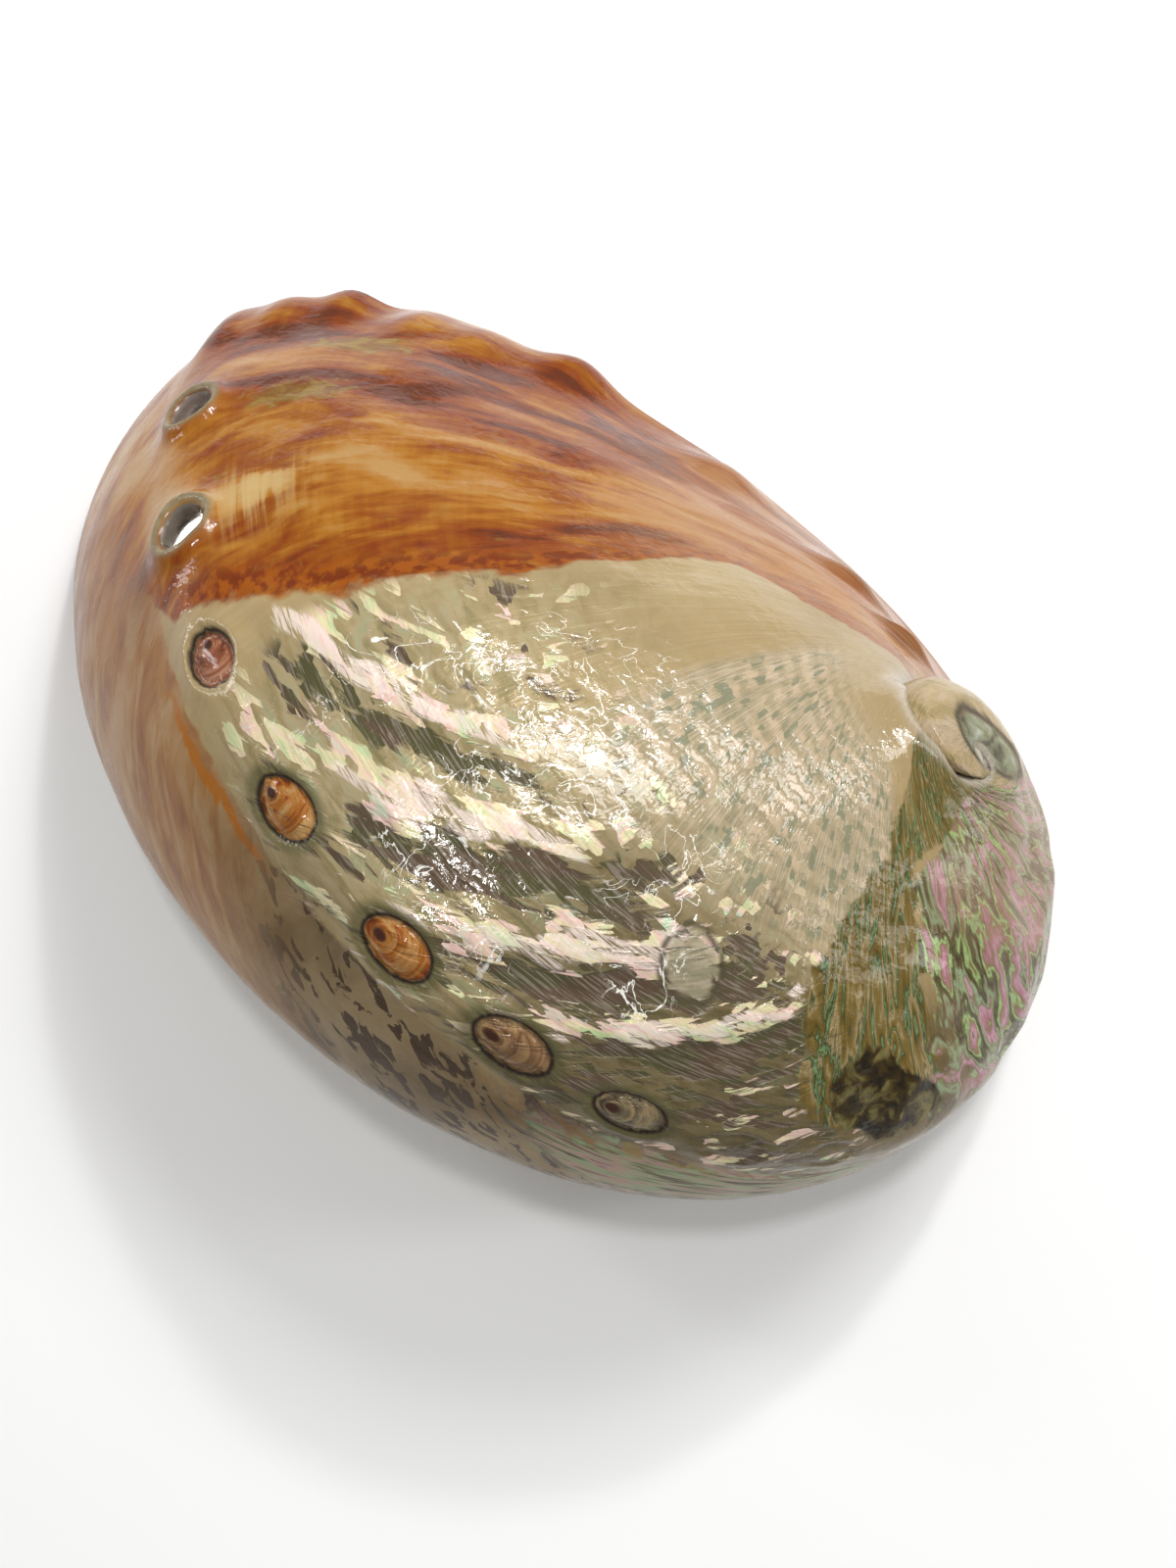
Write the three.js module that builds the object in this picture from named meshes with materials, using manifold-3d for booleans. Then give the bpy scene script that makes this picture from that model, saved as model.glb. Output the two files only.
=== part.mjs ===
// Abalone shell: one grown piece, a broad ear-shaped bowl that coils to a low spire at one end.
// Millimetres, +Z up. The shell lies mouth down on its rim, its back up and its spire towards +X.
//
// The shell grows as a real one does. Its margin is one closed loop in the plane of the mouth,
// and every earlier margin is the same loop, smaller and turned about the coiling axis:
//   point(growth, around) = apex + exp(EXPANSION * growth) * turn(-growth)(loop(around) - apex)
// growth is 0 at the margin and falls towards the spire, in radians. around runs once round the loop.
import * as THREE from 'three';
import { mergeVertices } from 'three/addons/utils/BufferGeometryUtils.js';
import Module from 'manifold-3d';

// Margin loop: an egg-shaped oval
const HALF_LENGTH = 72;
const HALF_WIDTH = 44.1;
const EGG = -0.165; // the end away from the spire is the fuller one
const SPIRE_END_FULLNESS = 4.9;
const LOOP_SKEW = 0.5;
const SHOULDER = 0.032;

// Coiling: where the spire's tip is, how the axis leans and how fast the shell widens
const APEX = new THREE.Vector3(66.6, 2.9, 33.0);
const AXIS_LEAN = THREE.MathUtils.degToRad(38);
const AXIS_HEADING = THREE.MathUtils.degToRad(47.8);
const EXPANSION = 0.391; // per radian of growth
const COIL_LENGTH = 2.9 * Math.PI; // growth shown before the spire closes to a point

// Wall: thick at the margin, thinner towards the spire, which is solid at its tip
const LIP_WALL = 3.6;
const WALL_TAPER = 0.16; // per radian of growth
const LEDGE_WALL = 2.4; // more wall on the inner margin, where the ledge is
const LEDGE_CENTRE = THREE.MathUtils.degToRad(255);
const LEDGE_SPREAD = THREE.MathUtils.degToRad(42);
const HOLLOW_LENGTH = 1.62 * Math.PI; // growth over which the inside is hollow
const HOLLOW_FADE = 0.5 * Math.PI; // the hollow's round end

// Worn tip: the spire is ground nearly flush, across the coiling axis
const WORN_DEPTH = 3.8;
const WORN_KEEP = 0.2; // share of the height above the worn level that is left
const WORN_EDGE = 0.5; // softness of the worn level's edge

// Breathing holes: one row, evenly spaced in growth, on a low keel
const KEEL_AROUND = THREE.MathUtils.degToRad(145.5);
const FIRST_HOLE = 0.268;
const HOLE_STEP = 0.239;
const KEEL_HEIGHT = 1.1;
const KEEL_SPREAD = THREE.MathUtils.degToRad(7);
const OPEN_HOLES = 2;
const CLOSED_HOLES = 7;
const BORE_LENGTH = 7.4; // the first open hole, along the row
const BORE_WIDTH = 5.6;
const COLLAR_WALL = 1.7;
const COLLAR_RISE = 1.5;
const COLLAR_SINK = 2.2;
const COLLAR_DRAFT = 0.78; // top radii over foot radii
const PLUG_LENGTH = 10.5;
const PLUG_WIDTH = 7.6;
const PLUG_RISE = 1.5;
const HOLE_SHRINK = 0.5; // how much of the expansion the holes follow
const HOLE_TILT = THREE.MathUtils.degToRad(-6); // the ovals lean a little across the row

// Knobs: swellings on the last growth lines, with their place round the margin in degrees
const KNOBS = [
  { around: 147, growth: -0.035, height: 1.6 },
  { around: 137, growth: -0.035, height: 1.8 },
  { around: 127, growth: -0.02, height: 2.8 },
  { around: 114, growth: -0.06, height: 1.8 },
  { around: 105, growth: -0.065, height: 1.6 },
  { around: 93, growth: -0.03, height: 3.0 },
  { around: 70, growth: -0.09, height: 1.8 },
  { around: 48, growth: -0.26, height: 1.6 },
  { around: 33, growth: -0.42, height: 1.5 },
];
const KNOB_GROWTH_SPREAD = 0.045;
const KNOB_AROUND_SPREAD = THREE.MathUtils.degToRad(3.6);

// How finely the solid is faceted
const GROWTH_STEPS = 34;
const HOLLOW_STEPS = 18;
const AROUND_STEPS = 60;
const GROWTH_CROWDING = 1.3; // rings crowd towards the margin
const OVAL_SIDES = 16;

const SHELL_COLOUR = 0xb9a173;

const axis = new THREE.Vector3(
  Math.sin(AXIS_LEAN) * Math.cos(AXIS_HEADING),
  Math.sin(AXIS_LEAN) * Math.sin(AXIS_HEADING),
  Math.cos(AXIS_LEAN),
);

function hump(distance, spread) {
  return Math.exp(-0.5 * (distance / spread) ** 2);
}

// Signed angle from one direction round the loop to another, within half a turn
function angleBetween(a, b) {
  return Math.atan2(Math.sin(a - b), Math.cos(a - b));
}

function marginPoint(around) {
  const egg = 1 + EGG * Math.cos(around) + SHOULDER * Math.cos(2 * around);
  return new THREE.Vector3(
    HALF_LENGTH * Math.cos(around) + SPIRE_END_FULLNESS * Math.cos(2 * around)
      + LOOP_SKEW * Math.sin(2 * around),
    HALF_WIDTH * Math.sin(around) * egg,
    0,
  );
}

// Outward normal of the shell at the margin: across the loop and across the growth direction
function marginNormal(around) {
  const step = 1e-3;
  const along = marginPoint(around + step).sub(marginPoint(around - step));
  const reach = marginPoint(around).sub(APEX);
  const growing = reach.clone().multiplyScalar(EXPANSION).sub(axis.clone().cross(reach));
  return along.cross(growing).normalize().negate();
}

// Smooth shell at a growth and a place round the loop, lifted along its normal
function shellPoint(growth, around, lift) {
  const scale = Math.exp(EXPANSION * growth);
  const point = marginPoint(around).sub(APEX).applyAxisAngle(axis, -growth);
  const normal = marginNormal(around).applyAxisAngle(axis, -growth);
  return point.multiplyScalar(scale).add(APEX).addScaledVector(normal, lift);
}

function keelHeight(growth, around) {
  const scale = Math.exp(EXPANSION * growth);
  return KEEL_HEIGHT * scale * hump(angleBetween(around, KEEL_AROUND), KEEL_SPREAD);
}

function knobHeight(growth, around) {
  let height = 0;
  for (const knob of KNOBS) {
    const away = angleBetween(around, THREE.MathUtils.degToRad(knob.around));
    const across = hump(away, KNOB_AROUND_SPREAD);
    height += knob.height * across * hump(growth - knob.growth, KNOB_GROWTH_SPREAD);
  }
  return height;
}

// Pulls what stands above the worn level down towards it
function wearDown(point) {
  const above = point.clone().sub(APEX).dot(axis) + WORN_DEPTH;
  if (above <= 0) return point;
  const kept = WORN_KEEP * above + (1 - WORN_KEEP) * WORN_EDGE * (1 - Math.exp(-above / WORN_EDGE));
  return point.addScaledVector(axis, kept - above);
}

function outerPoint(growth, around) {
  const relief = keelHeight(growth, around) + knobHeight(growth, around);
  return wearDown(shellPoint(growth, around, relief));
}

function wallThickness(growth, around) {
  const ledge = LEDGE_WALL * hump(angleBetween(around, LEDGE_CENTRE), LEDGE_SPREAD);
  return (LIP_WALL + ledge) * Math.exp(WALL_TAPER * growth);
}

function ringOf(pointAt) {
  const ring = [];
  for (let step = 0; step < AROUND_STEPS; step += 1) {
    ring.push(pointAt((step / AROUND_STEPS) * 2 * Math.PI));
  }
  return ring;
}

function ringMiddle(ring) {
  const middle = new THREE.Vector3();
  for (const point of ring) middle.add(point);
  return middle.divideScalar(ring.length);
}

function crowdedGrowth(step, steps, length) {
  return -length * (step / steps) ** GROWTH_CROWDING;
}

// Rings from the tip of the spire out to the margin, then back inside to the hollow's round end
function shellRings() {
  const rings = [];
  for (let step = GROWTH_STEPS; step >= 0; step -= 1) {
    const growth = crowdedGrowth(step, GROWTH_STEPS, COIL_LENGTH);
    rings.push(ringOf((around) => outerPoint(growth, around)));
  }
  for (let step = 0; step < HOLLOW_STEPS; step += 1) {
    const growth = crowdedGrowth(step, HOLLOW_STEPS, HOLLOW_LENGTH);
    const ring = ringOf((around) => shellPoint(growth, around, -wallThickness(growth, around)));
    const left = Math.min(1, (HOLLOW_LENGTH + growth) / HOLLOW_FADE);
    const width = Math.sqrt(1 - (1 - left) ** 2);
    const middle = ringMiddle(ring);
    for (const point of ring) point.lerp(middle, 1 - width);
    rings.push(ring);
  }
  return rings;
}

// One closed solid from a run of rings, with a fan to a point at each end
function solidFromRings(rings) {
  const positions = [];
  const triangle = (a, b, c) => positions.push(...a.toArray(), ...b.toArray(), ...c.toArray());
  const count = rings[0].length;
  const first = ringMiddle(rings[0]);
  const last = ringMiddle(rings[rings.length - 1]);
  for (let step = 0; step < count; step += 1) {
    const next = (step + 1) % count;
    triangle(first, rings[0][step], rings[0][next]);
    for (let ring = 0; ring < rings.length - 1; ring += 1) {
      const inner = rings[ring];
      const outer = rings[ring + 1];
      triangle(inner[step], outer[step], outer[next]);
      triangle(inner[step], outer[next], inner[next]);
    }
    triangle(last, rings[rings.length - 1][next], rings[rings.length - 1][step]);
  }
  const geometry = new THREE.BufferGeometry();
  geometry.setAttribute('position', new THREE.Float32BufferAttribute(positions, 3));
  return geometry;
}

const manifoldLibrary = await Module();
manifoldLibrary.setup();

function toManifold(geometry) {
  const bare = geometry.clone();
  bare.deleteAttribute('normal');
  bare.deleteAttribute('uv');
  const merged = mergeVertices(bare);
  const mesh = new manifoldLibrary.Mesh({
    numProp: 3,
    vertProperties: new Float32Array(merged.getAttribute('position').array),
    triVerts: new Uint32Array(merged.getIndex().array),
  });
  return new manifoldLibrary.Manifold(mesh);
}

function toGeometry(manifold) {
  const mesh = manifold.getMesh();
  const geometry = new THREE.BufferGeometry();
  geometry.setAttribute('position', new THREE.BufferAttribute(mesh.vertProperties, 3));
  geometry.setIndex(new THREE.BufferAttribute(mesh.triVerts, 1));
  return geometry;
}

// Where a hole sits, with X along its long diameter and Z out of the shell
function holeFrame(index) {
  const growth = -(FIRST_HOLE + HOLE_STEP * index);
  const centre = outerPoint(growth, KEEL_AROUND);
  const out = marginNormal(KEEL_AROUND).applyAxisAngle(axis, -growth);
  const ahead = outerPoint(growth + HOLE_STEP / 2, KEEL_AROUND).sub(centre);
  const along = ahead.addScaledVector(out, -ahead.dot(out)).normalize().applyAxisAngle(out, HOLE_TILT);
  const frame = new THREE.Matrix4().makeBasis(along, out.clone().cross(along), out);
  return frame.setPosition(centre);
}

function holeScale(index) {
  return Math.exp(-EXPANSION * HOLE_SHRINK * HOLE_STEP * index);
}

// A tapered oval drum from bottom to top, in a hole's frame
function ovalDrum(frame, length, width, bottom, top, draft) {
  const drum = new THREE.CylinderGeometry(0.5 * draft, 0.5, top - bottom, OVAL_SIDES);
  drum.rotateX(Math.PI / 2).translate(0, 0, (top + bottom) / 2).scale(length, width, 1);
  return toManifold(drum.applyMatrix4(frame));
}

// A low oval dome, the plug of shell that closes an old hole
function plug(index) {
  const scale = holeScale(index);
  const dome = new THREE.SphereGeometry(0.5, OVAL_SIDES, 6);
  dome.scale(PLUG_LENGTH * scale, PLUG_WIDTH * scale, 2 * PLUG_RISE * scale);
  return toManifold(dome.applyMatrix4(holeFrame(index)));
}

// Everything below the floor plane, cut away to leave the rim flat
function belowRim() {
  const depth = 20;
  const block = new THREE.BoxGeometry(4 * HALF_LENGTH, 4 * HALF_LENGTH, depth);
  return toManifold(block.translate(0, 0, -depth / 2));
}

function buildShell() {
  let shell = toManifold(solidFromRings(shellRings()));
  for (let index = 0; index < OPEN_HOLES; index += 1) {
    const scale = holeScale(index);
    const length = (BORE_LENGTH + 2 * COLLAR_WALL) * scale / COLLAR_DRAFT;
    const width = (BORE_WIDTH + 2 * COLLAR_WALL) * scale / COLLAR_DRAFT;
    const collar = ovalDrum(holeFrame(index), length, width, -COLLAR_SINK, COLLAR_RISE, COLLAR_DRAFT);
    shell = shell.add(collar);
  }
  for (let index = 0; index < OPEN_HOLES; index += 1) {
    const scale = holeScale(index);
    const reach = 2 * LIP_WALL;
    const bore = ovalDrum(holeFrame(index), BORE_LENGTH * scale, BORE_WIDTH * scale, -reach, reach, 1);
    shell = shell.subtract(bore);
  }
  for (let index = OPEN_HOLES; index < OPEN_HOLES + CLOSED_HOLES; index += 1) {
    shell = shell.add(plug(index));
  }
  return toGeometry(shell.subtract(belowRim()));
}

const shellGeometry = buildShell();
shellGeometry.computeBoundingBox();

const shellMaterial = new THREE.MeshStandardMaterial({
  color: SHELL_COLOUR,
  roughness: 0.2,
  metalness: 0,
});
const shell = new THREE.Mesh(shellGeometry, shellMaterial);
shell.name = 'shell';

// The origin is under the middle of the shell's box, on the surface it lies on
const middle = shellGeometry.boundingBox.getCenter(new THREE.Vector3());
shell.position.set(-middle.x, -middle.y, 0);

const abalone = new THREE.Group();
abalone.add(shell);

export default abalone;
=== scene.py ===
"""An abalone shell, grown as a real one grows, lying mouth down on a pale floor.

Every earlier margin of the shell is the present one, smaller and turned about the coiling axis:
point = tip + exp(expansion * growth) * turn(-growth)(margin(around) - tip). growth is 0 at the
margin and falls towards the spire. age is minus growth. Both are in radians, shapes are in
millimetres in the maker's own axes, and the mesh is in metres in the shared frame.
"""

import logging
import math
from dataclasses import dataclass, field
from enum import Enum

import bpy
import numpy as np
from mathutils import Matrix, Vector


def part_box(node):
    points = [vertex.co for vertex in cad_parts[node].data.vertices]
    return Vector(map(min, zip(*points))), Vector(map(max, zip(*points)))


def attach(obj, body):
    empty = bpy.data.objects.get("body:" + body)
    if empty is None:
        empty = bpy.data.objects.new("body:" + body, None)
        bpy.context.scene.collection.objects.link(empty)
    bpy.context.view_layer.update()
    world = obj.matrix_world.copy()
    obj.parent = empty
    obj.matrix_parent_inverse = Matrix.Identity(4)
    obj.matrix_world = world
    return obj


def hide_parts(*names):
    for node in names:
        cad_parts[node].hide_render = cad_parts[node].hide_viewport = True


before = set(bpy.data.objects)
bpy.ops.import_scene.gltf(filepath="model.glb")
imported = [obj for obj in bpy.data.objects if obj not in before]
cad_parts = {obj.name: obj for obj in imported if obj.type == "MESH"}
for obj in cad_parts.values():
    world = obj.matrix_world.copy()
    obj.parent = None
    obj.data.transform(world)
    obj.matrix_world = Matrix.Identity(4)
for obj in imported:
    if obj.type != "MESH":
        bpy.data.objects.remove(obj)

LOG = logging.getLogger("abalone")
NODE = "shell"
MM = 0.001
SMALL_STEP = 1e-4
TABLE_SIZE = 4096
PRIMES = (73856093, 19349663, 83492791)


class Layer(Enum):
    """The two faces of the shell's wall, as the mesh's material slots."""

    BACK = 0
    NACRE = 1


def hump(distance: np.ndarray, spread: float) -> np.ndarray:
    """A bell curve, exp(-(distance / spread)^2 / 2)."""
    return np.exp(-0.5 * (distance / spread) ** 2)


def ease(value: np.ndarray, low: float, high: float) -> np.ndarray:
    """0 below low, 1 above high, and 3t^2 - 2t^3 between."""
    share = np.clip((value - low) / (high - low), 0.0, 1.0)
    return share * share * (3.0 - 2.0 * share)


def turn_between(angle: np.ndarray, other: float) -> np.ndarray:
    """The signed turn from other to angle, within half a turn."""
    return np.arctan2(np.sin(angle - other), np.cos(angle - other))


@dataclass(frozen=True)
class Unevenness:
    """Smooth random height through space, from random numbers on a cubic lattice.

    Attributes:
        size: distance between knots of the lattice.
        seed: which random numbers it uses.
    """

    size: float
    seed: int

    def at(self, points: np.ndarray) -> np.ndarray:
        """Eases between the eight nearest knots of the lattice.

        Args:
            points: places, as an array whose last axis is x, y, z.

        Returns:
            Heights between -1 and 1, one for each place.
        """
        table = np.random.default_rng(self.seed).uniform(-1.0, 1.0, TABLE_SIZE)
        scaled = points / self.size + 1000.0
        corner = np.floor(scaled).astype(np.int64)
        share = scaled - corner
        share = share * share * (3.0 - 2.0 * share)
        total = np.zeros(points.shape[:-1])
        for dx in (0, 1):
            for dy in (0, 1):
                for dz in (0, 1):
                    weight = np.prod(np.where((dx, dy, dz), share, 1.0 - share), axis=-1)
                    key = (corner[..., 0] + dx) * PRIMES[0]
                    key = key ^ ((corner[..., 1] + dy) * PRIMES[1])
                    key = key ^ ((corner[..., 2] + dz) * PRIMES[2])
                    total += weight * table[key & (TABLE_SIZE - 1)]
        return total


@dataclass(frozen=True)
class Growth:
    """The smooth shell: its margin, its coiling and its worn tip, in millimetres."""

    half_length: float = 72.0
    half_width: float = 44.1
    egg: float = -0.165
    spire_end_fullness: float = 4.9
    loop_skew: float = 0.5
    shoulder: float = 0.032
    tip: tuple[float, float, float] = (66.6, 2.9, 33.0)
    lean: float = math.radians(38.0)
    heading: float = math.radians(47.8)
    expansion: float = 0.391
    coil_length: float = 2.9 * math.pi
    worn_depth: float = 4.4
    worn_keep: float = 0.08
    worn_edge: float = 0.5

    @property
    def axis(self) -> np.ndarray:
        """Unit vector along the coiling axis, up from the mouth."""
        flat = math.sin(self.lean)
        return np.array((flat * math.cos(self.heading), flat * math.sin(self.heading), math.cos(self.lean)))

    def margin(self, around: np.ndarray) -> np.ndarray:
        """The margin, an egg-shaped oval in the plane of the mouth.

        x = half_length * cos + fullness * cos of twice around, and y = half_width * sin * egg.

        Args:
            around: place round the loop, in radians.

        Returns:
            Points in the maker's axes, with z = 0.
        """
        egg = 1.0 + self.egg * np.cos(around) + self.shoulder * np.cos(2 * around)
        x = self.half_length * np.cos(around) + self.spire_end_fullness * np.cos(2 * around)
        x = x + self.loop_skew * np.sin(2 * around)
        y = self.half_width * np.sin(around) * egg
        return np.stack((x, y, np.zeros_like(x)), axis=-1)

    def outward(self, around: np.ndarray) -> np.ndarray:
        """Unit normal at the margin: minus the loop's direction crossed with the growth direction.

        Args:
            around: place round the loop, in radians.

        Returns:
            Unit vectors that point out of the shell.
        """
        along = self.margin(around + SMALL_STEP) - self.margin(around - SMALL_STEP)
        reach = self.margin(around) - self.tip
        growing = self.expansion * reach - np.cross(self.axis, reach)
        normal = -np.cross(along, growing)
        return normal / np.linalg.norm(normal, axis=-1, keepdims=True)

    def turned(self, vectors: np.ndarray, angle: np.ndarray) -> np.ndarray:
        """Vectors turned about the coiling axis, by Rodrigues' formula.

        Args:
            vectors: what is turned.
            angle: how far each is turned, in radians.

        Returns:
            The turned vectors.
        """
        cosine, sine = np.cos(angle)[..., None], np.sin(angle)[..., None]
        along = (vectors @ self.axis)[..., None] * self.axis
        return vectors * cosine + np.cross(self.axis, vectors) * sine + along * (1.0 - cosine)

    def place(self, age: np.ndarray, around: np.ndarray, lift: np.ndarray) -> np.ndarray:
        """Points of the shell: tip + exp(-expansion * age) * turned reach + lift * normal.

        Args:
            age: how long ago each point was the margin, in radians of growth.
            around: place round the loop, in radians.
            lift: height above the smooth shell.

        Returns:
            Points in the maker's axes.
        """
        reach = self.turned(self.margin(around) - self.tip, age)
        normal = self.turned(self.outward(around), age)
        scale = np.exp(-self.expansion * age)[..., None]
        return self.tip + reach * scale + normal * lift[..., None]

    def worn(self, points: np.ndarray) -> np.ndarray:
        """Pulls what stands above the worn level near the tip down towards it.

        The height kept is keep * above + (1 - keep) * edge * (1 - exp(-above / edge)).

        Args:
            points: points of the shell.

        Returns:
            The points, with the tip worn down.
        """
        above = np.maximum((points - self.tip) @ self.axis + self.worn_depth, 0.0)
        kept = self.worn_keep * above
        kept = kept + (1.0 - self.worn_keep) * self.worn_edge * (1.0 - np.exp(-above / self.worn_edge))
        return points + (kept - above)[..., None] * self.axis

    def box(self) -> tuple[np.ndarray, np.ndarray]:
        """The box round the smooth shell.

        Returns:
            Its lowest and its highest corner.
        """
        age = np.linspace(0.0, self.coil_length, 500)[:, None]
        around = np.linspace(0.0, 2 * math.pi, 720)[None, :]
        age, around = np.broadcast_arrays(age, around)
        points = self.place(age, around, np.zeros(age.shape)).reshape(-1, 3)
        return points.min(axis=0), points.max(axis=0)


class Kind(Enum):
    """What has become of a breathing hole."""

    OPEN = 0
    CLOSING = 1
    PLUGGED = 2
    GHOST = 3


@dataclass(frozen=True)
class Hole:
    """One breathing hole of the row, as an oval on the keel.

    Attributes:
        kind: open, closing, plugged or a ghost of one.
        age: where it is in the row.
        length: its long diameter, of the opening or of the plug.
        width: its short diameter.
        tilt: turn of the long diameter from the growth direction, seen from outside.
        rim: height of the rim or of the swelling round it.
        floor: depth of the moat or of the pit inside the rim.
        plug: height of the dome that closes it, above the pit's floor.
    """

    kind: Kind
    age: float
    length: float
    width: float
    tilt: float
    rim: float
    floor: float
    plug: float


@dataclass(frozen=True)
class HoleRow:
    """The row of breathing holes on its keel."""

    growth: Growth
    around: float = math.radians(145.5)
    keel_height: float = 1.1
    keel_spread: float = math.radians(7.0)
    holes: tuple[Hole, ...] = (
        Hole(Kind.OPEN, 0.268, 7.0, 5.2, -0.5, 1.5, 0.0, 0.0),
        Hole(Kind.OPEN, 0.504, 7.2, 5.8, -0.6, 1.6, 0.0, 0.0),
        Hole(Kind.CLOSING, 0.731, 8.0, 5.6, 0.0, 0.25, 1.4, 0.9),
        Hole(Kind.PLUGGED, 0.985, 9.2, 5.7, 0.15, 0.35, 0.9, 1.5),
        Hole(Kind.PLUGGED, 1.247, 9.2, 5.6, 0.05, 0.35, 0.9, 1.6),
        Hole(Kind.PLUGGED, 1.480, 9.6, 5.4, 0.05, 0.35, 0.8, 1.5),
        Hole(Kind.PLUGGED, 1.714, 8.6, 4.4, 0.05, 0.3, 0.6, 1.0),
        Hole(Kind.GHOST, 1.937, 7.6, 3.8, 0.1, 0.3, 0.35, 0.4),
        Hole(Kind.GHOST, 2.172, 6.8, 3.2, 0.1, 0.2, 0.25, 0.3),
    )

    def keel(self, age: np.ndarray, around: np.ndarray) -> np.ndarray:
        """Height of the ridge that the holes stand on, shrinking with the shell."""
        scale = np.exp(-self.growth.expansion * age)
        return self.keel_height * scale * hump(turn_between(around, self.around), self.keel_spread)

    def slopes(self, hole: Hole) -> np.ndarray:
        """The matrix from steps in age and around to millimetres along and across a hole.

        Along points the way the shell grows, then turned by the hole's tilt.

        Args:
            hole: the hole.

        Returns:
            A matrix of two rows, along and across.
        """
        age = np.array((hole.age, hole.age + SMALL_STEP, hole.age))
        around = np.array((self.around, self.around, self.around + SMALL_STEP))
        centre, older, beside = self.growth.place(age, around, np.zeros(3))
        by_age, by_around = (older - centre) / SMALL_STEP, (beside - centre) / SMALL_STEP
        lifted = self.growth.place(age[:1], around[:1], np.ones(1))[0]
        normal = lifted - centre
        along = -by_age / np.linalg.norm(by_age)
        across = np.cross(normal, along)
        flat = np.array(((by_age @ along, by_around @ along), (by_age @ across, by_around @ across)))
        cosine, sine = math.cos(hole.tilt), math.sin(hole.tilt)
        return np.array(((cosine, sine), (-sine, cosine))) @ flat

    def local(self, hole: Hole, age: np.ndarray, around: np.ndarray) -> tuple[np.ndarray, np.ndarray]:
        """Places near a hole in its own radii, so that its oval is the unit circle.

        Args:
            hole: the hole.
            age: age of each point.
            around: place round the loop of each point.

        Returns:
            How far each point is along and across.
        """
        slopes = self.slopes(hole)
        older, beside = age - hole.age, turn_between(around, self.around)
        along = slopes[0, 0] * older + slopes[0, 1] * beside
        across = slopes[1, 0] * older + slopes[1, 1] * beside
        return along / (hole.length / 2), across / (hole.width / 2)

    def relief(self, age: np.ndarray, around: np.ndarray) -> np.ndarray:
        """Rims, pits and plugs.

        An open hole has a raised ring just outside its edge. Any other has a soft swelling, a pit
        with a flat floor inside the oval, and a dome like a lens that stands on the floor.

        Args:
            age: age of each point.
            around: place round the loop of each point.

        Returns:
            Millimetres above the keel.
        """
        lift = np.zeros(age.shape)
        for hole in self.holes:
            along, across = self.local(hole, age, around)
            radius = np.hypot(along, across)
            if hole.kind is Kind.OPEN:
                lift = lift + hole.rim * (0.75 * hump(radius - 1.32, 0.24) + 0.3 * hump(radius - 1.3, 0.7))
                continue
            swelling = hole.rim * (0.6 * hump(radius - 1.3, 0.16) + 0.5 * hump(radius - 1.3, 0.5))
            pit = -hole.floor * (1.0 - ease(radius, 0.94, 1.12))
            share = np.clip(1.0 - (radius / 0.97) ** 2, 0.0, 1.0)
            lift = lift + swelling + pit + hole.plug * np.sqrt(share)
        return lift

    def fit_grid(self, age: np.ndarray, around: np.ndarray) -> np.ndarray:
        """Moves grid points onto the ovals of the open holes, so that each opening has a smooth edge.

        Args:
            age: ages of the grid, moved in place.
            around: places round the loop, moved in place.

        Returns:
            True for each cell of the grid that lies inside an opening and is left out.
        """
        gone = np.zeros((age.shape[0] - 1, age.shape[1]), dtype=bool)
        for hole in (hole for hole in self.holes if hole.kind is Kind.OPEN):
            along, across = self.local(hole, age, around)
            radius = np.hypot(along, across)
            inside = radius < 1.08
            ahead = np.roll(inside, -1, axis=1)
            cells = inside[:-1] & inside[1:] & ahead[:-1] & ahead[1:]
            gone |= cells
            count = np.zeros(age.shape, dtype=int)
            for row in (0, 1):
                for column in (0, 1):
                    count[row : age.shape[0] - 1 + row] += np.roll(cells, column, axis=1)
            edge = (count > 0) & (count < 4)
            inverse = np.linalg.inv(self.slopes(hole))
            flat_along = along[edge] / radius[edge] * hole.length / 2
            flat_across = across[edge] / radius[edge] * hole.width / 2
            age[edge] = hole.age + inverse[0, 0] * flat_along + inverse[0, 1] * flat_across
            around[edge] = self.around + inverse[1, 0] * flat_along + inverse[1, 1] * flat_across
        return gone

    def nearest(self, age: np.ndarray, around: np.ndarray) -> tuple[np.ndarray, np.ndarray, np.ndarray]:
        """Finds the nearest hole of each point.

        Args:
            age: age of each point.
            around: place round the loop of each point.

        Returns:
            The distance in the hole's own radii, how far it is along, and the hole's number.
        """
        radius = np.full(age.shape, 4.0)
        forward = np.zeros(age.shape)
        number = np.zeros(age.shape)
        for index, hole in enumerate(self.holes):
            along, across = self.local(hole, age, around)
            distance = np.hypot(along, across)
            closer = distance < radius
            radius = np.where(closer, distance, radius)
            forward = np.where(closer, along, forward)
            number = np.where(closer, float(index), number)
        return radius, forward, number


@dataclass(frozen=True)
class Knob:
    """One knob of the wavy shoulder near the margin, in radians and millimetres."""

    around: float
    age: float
    height: float


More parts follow.
